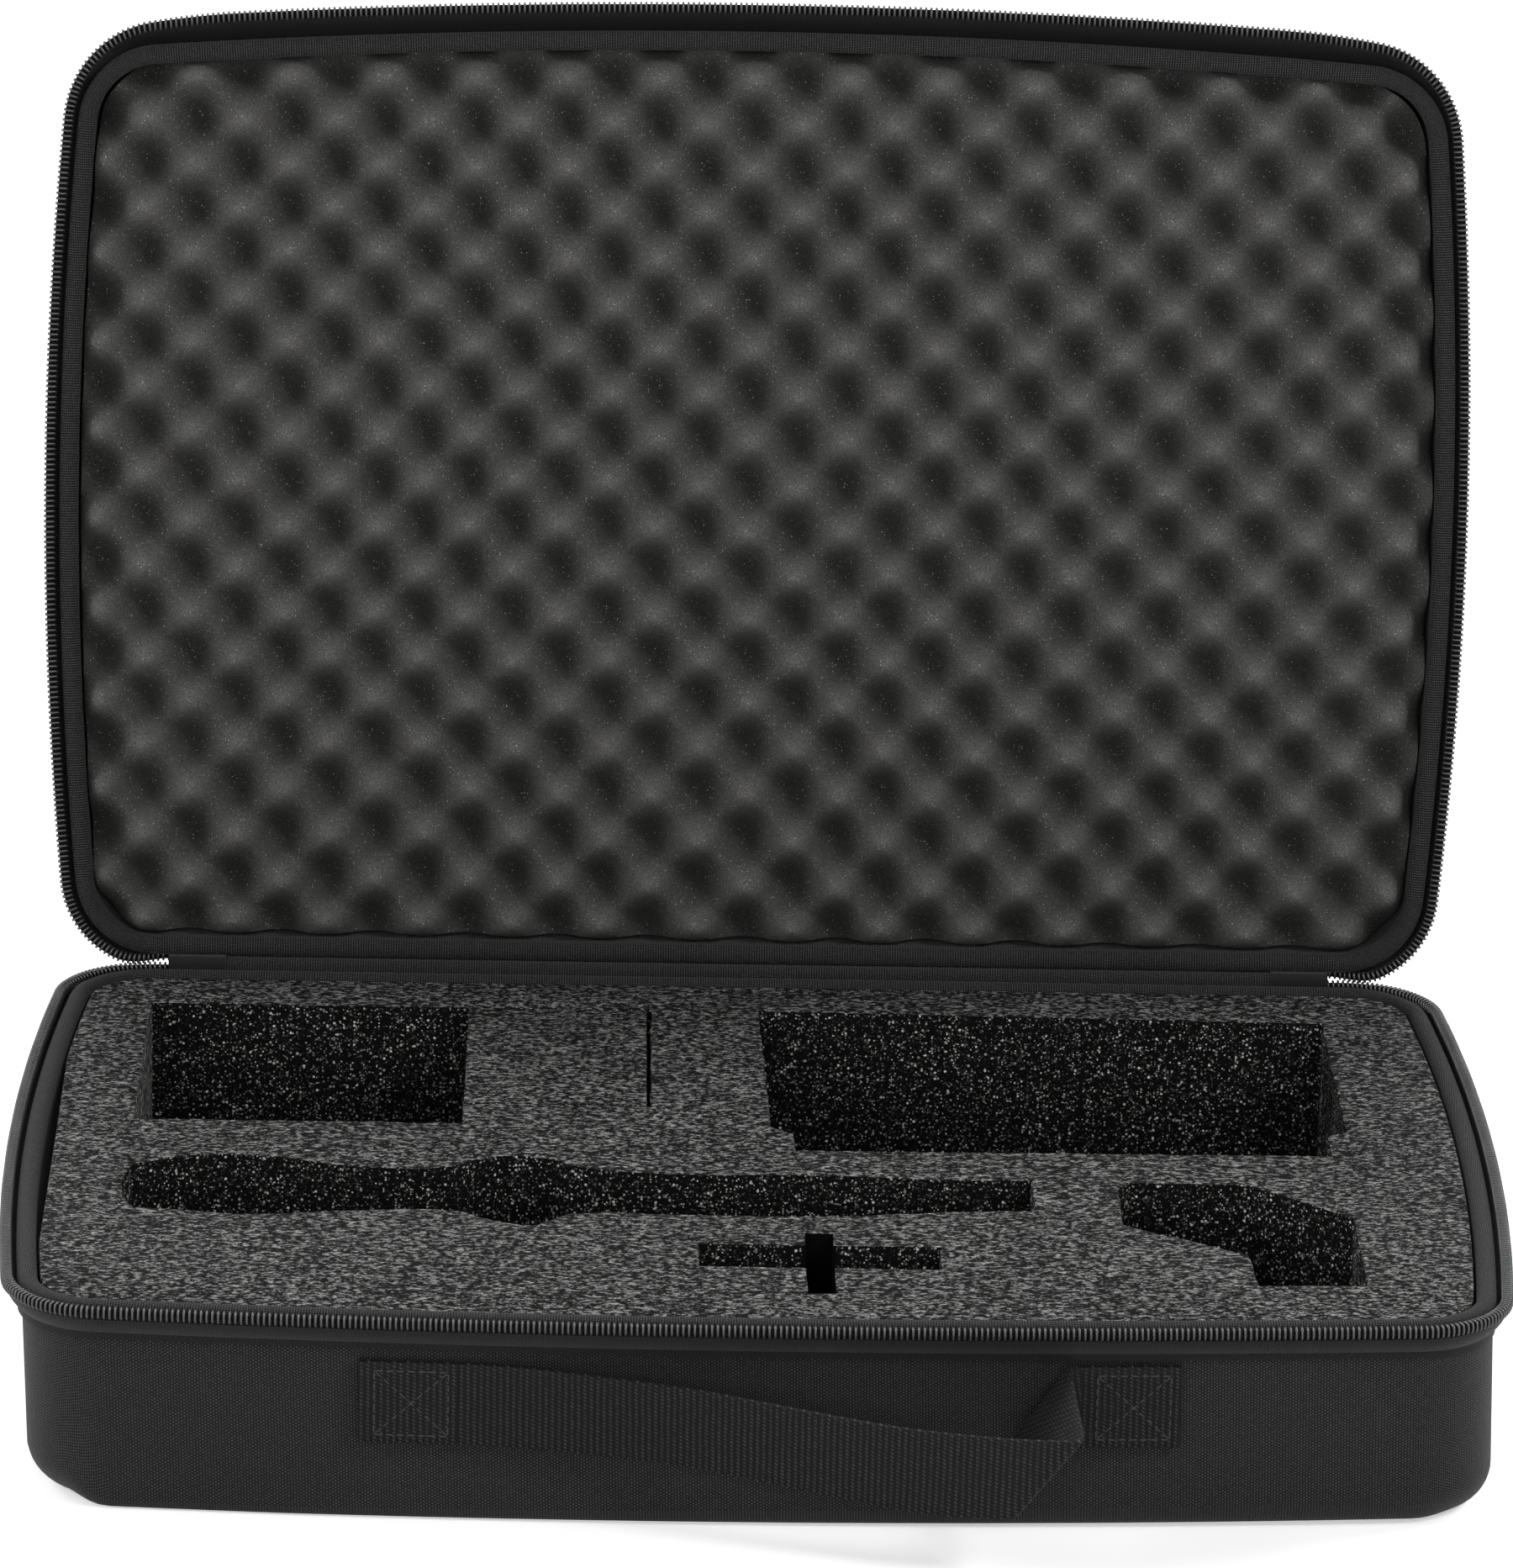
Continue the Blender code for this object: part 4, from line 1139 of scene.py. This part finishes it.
bm = cut_away(prism([insert_loop], insert_low, foam_top),
              prism(outlines, insert_low - knife_over, foam_top + knife_over))
soften_top(bm, foam_top, top_rounding)
for face in bm.faces:
    spot = face.calc_center_median()
    if face.normal.z > top_facing:
        face.material_index = 0
    elif face.normal.x > side_facing and spot.x < skived_wall_x and spot.y > 0:
        face.material_index = 2
    elif deep_slot_left < spot.x < deep_slot_right and spot.y < deep_slot_back:
        face.material_index = 3
    else:
        face.material_index = 1
insert = add_piece("foam_insert_cut", bm, "base", "insert_foam", insert_top, insert_cut,
                   insert_side, slot_shade, replaced=["foam_insert"])

bm = bmesh.new()
bm.from_mesh(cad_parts["foam_base_pad"].data)
bmesh.ops.remove_doubles(bm, verts=bm.verts, dist=merge_gap)
pad_piece = add_piece("foam_base_pad_cut", bm, "base", "insert_foam", insert_cut,
                      replaced=["foam_base_pad"])


# Filler block: a loose plug of the same foam that stands in the receiver's pocket and lifts out.
# It is cut as the insert is, so its top is skived and its sides are open cells.
block_wave = 0.00015
block_seed = 6
block_rounding = 0.0005
low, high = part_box("foam_filler_block")
block_outline = [(low.x, low.y), (high.x, low.y), (high.x, high.y), (low.x, high.y)]
bm = prism([hand_cut(block_outline, block_wave, block_seed)], low.z, high.z)
soften_top(bm, high.z, block_rounding)
for face in bm.faces:
    face.material_index = 0 if face.normal.z > top_facing else 1
filler = add_piece("foam_filler_block_cut", bm, "filler", "insert_foam", insert_top, insert_cut,
                   replaced=["foam_filler_block"])


# Lid foam: an egg-crate sheet of soft open-cell foam, pressed into the lid so that its edge
# tucks under the binding. Its colour carries painted shade: paler on the peaks, darker in the
# valleys and towards the edge under the binding.
lid_foam_inset = 0.0113
lid_foam_back = closing + lid_height - wall - clearance
crate_pitch_x = 0.0293
crate_pitch_y = 0.0285
crate_relief = 0.0175
crate_proud = 0.0003
crate_peak_x = -0.0026
crate_peak_y = -0.1336
crate_wander = 0.0022
crate_wander_scale = 14
crate_uneven = 0.10
crate_uneven_scale = 30
crate_uneven_slice = 5
crate_columns, crate_rows = 280, 190
peak_share = 1.10
edge_drop = 0.0045
edge_drop_least = 0.35
edge_width = 0.0090
edge_shade = 0.4

crate_foam, tree, shader = new_material("crate_foam")
place = add_node(tree, "ShaderNodeTexCoord")
pores = add_node(tree, "ShaderNodeTexNoise", {"Scale": 1700.0, "Detail": 3.0, "Roughness": 0.8},
                 {"Vector": place.outputs["Object"]})
tone = add_node(tree, "ShaderNodeMapRange", {"From Min": 0.25, "From Max": 0.75},
                {"Value": pores.outputs[0]})
colour = two_tone(tree, (0.012, 0.0118, 0.0108), (0.092, 0.091, 0.086), tone.outputs[0])
# Painted shade: the colour is scaled by the relief's height share, so the valleys and the pressed edge
# are darker and the peaks paler.
peaks = add_node(tree, "ShaderNodeAttribute", attribute_name="rise")
painted_relief_shade = add_node(tree, "ShaderNodeMapRange", {"To Min": 0.45, "To Max": 1.75},
                {"Value": peaks.outputs["Fac"]})
toned = add_node(tree, "ShaderNodeVectorMath", operation="SCALE",
                 links={0: colour, "Scale": painted_relief_shade.outputs[0]})
# Painted glints: a few bright specks in the colour stand in for light caught by the cells.
painted_glints = add_glints(tree, place, {"Scale": 1150.0, "Rarity": 5.0, "Edge": 0.28, "Core": 0.06})
mixed = add_node(tree, "ShaderNodeMix", {7: (0.55, 0.55, 0.53, 1)},
                 {"Factor": painted_glints, 6: toned.outputs[0]}, data_type="RGBA")
tree.links.new(mixed.outputs[2], shader.inputs["Base Color"])
shader.inputs["Roughness"].default_value = 0.95
shader.inputs["Specular IOR Level"].default_value = 0.2
bump = add_node(tree, "ShaderNodeBump", {"Strength": 0.5, "Distance": 0.0001},
                {"Height": pores.outputs[0]})
tree.links.new(bump.outputs[0], shader.inputs["Normal"])


def into_outline(u, v, inset):
    """Carries a square of -1 to 1 onto the lid's rounded and bowed outline."""
    wide, deep = half_width - inset, half_depth - inset
    round_off = corner_radius - inset
    x, y = u * wide, v * deep
    px, py = abs(x) - (wide - round_off), abs(y) - (deep - round_off)
    if px > 0 and py > 0:
        pull = max(px, py) / sqrt(px * px + py * py)
        x = (wide - round_off + px * pull) * (1 if x > 0 else -1)
        y = (deep - round_off + py * pull) * (1 if y > 0 else -1)
    side_share = side_bow * (y / half_depth) ** 2
    x *= 1 - side_share / half_width
    if y < 0:
        front_share = front_bow * (x / half_width) ** 2
        y *= 1 - front_share / half_depth * (-y / deep)
    return x, y


bm = bmesh.new()
rise = bm.verts.layers.float.new("rise")
bmesh.ops.create_grid(bm, x_segments=crate_columns, y_segments=crate_rows, size=1.0)
for vert in bm.verts:
    u, v = vert.co.x, vert.co.y
    x, y = into_outline(u, v, lid_foam_inset)
    drift = noise.noise_vector(Vector((x, y, 0)) * crate_wander_scale)
    wave_x = cos(2 * pi * (x - crate_peak_x + crate_wander * drift.x) / crate_pitch_x)
    wave_y = cos(2 * pi * (y - crate_peak_y + crate_wander * drift.y) / crate_pitch_y)
    share = ((1 + wave_x * wave_y) / 2) ** peak_share
    spot = Vector((x * crate_uneven_scale, y * crate_uneven_scale, crate_uneven_slice))
    size = 1 + crate_uneven * noise.noise(spot)
    off = min((1 - abs(u)) * half_width, (1 - abs(v)) * half_depth) / edge_width
    fall = (1 - min(off, 1)) ** 2
    # The height share, lowered near the edge, is kept for the painted shade in the colour.
    vert[rise] = share * (1 - edge_shade * fall)
    valley = crate_relief * (1 - share * size)
    pressed = edge_drop * fall * (edge_drop_least + (1 - edge_drop_least) * share)
    vert.co = (x, y, closing - crate_proud + valley + pressed)
edges = [edge for edge in bm.edges if edge.is_boundary]
grown = bmesh.ops.extrude_edge_only(bm, edges=edges)["geom"]
for vert in grown:
    if isinstance(vert, bmesh.types.BMVert):
        vert.co.z = lid_foam_back
bmesh.ops.holes_fill(bm, edges=[edge for edge in bm.edges if edge.is_boundary], sides=0)
open_lid(bm)
crate = add_piece("lid_foam_crate", bm, "lid", "crate_foam", crate_foam, replaced=["lid_foam"])
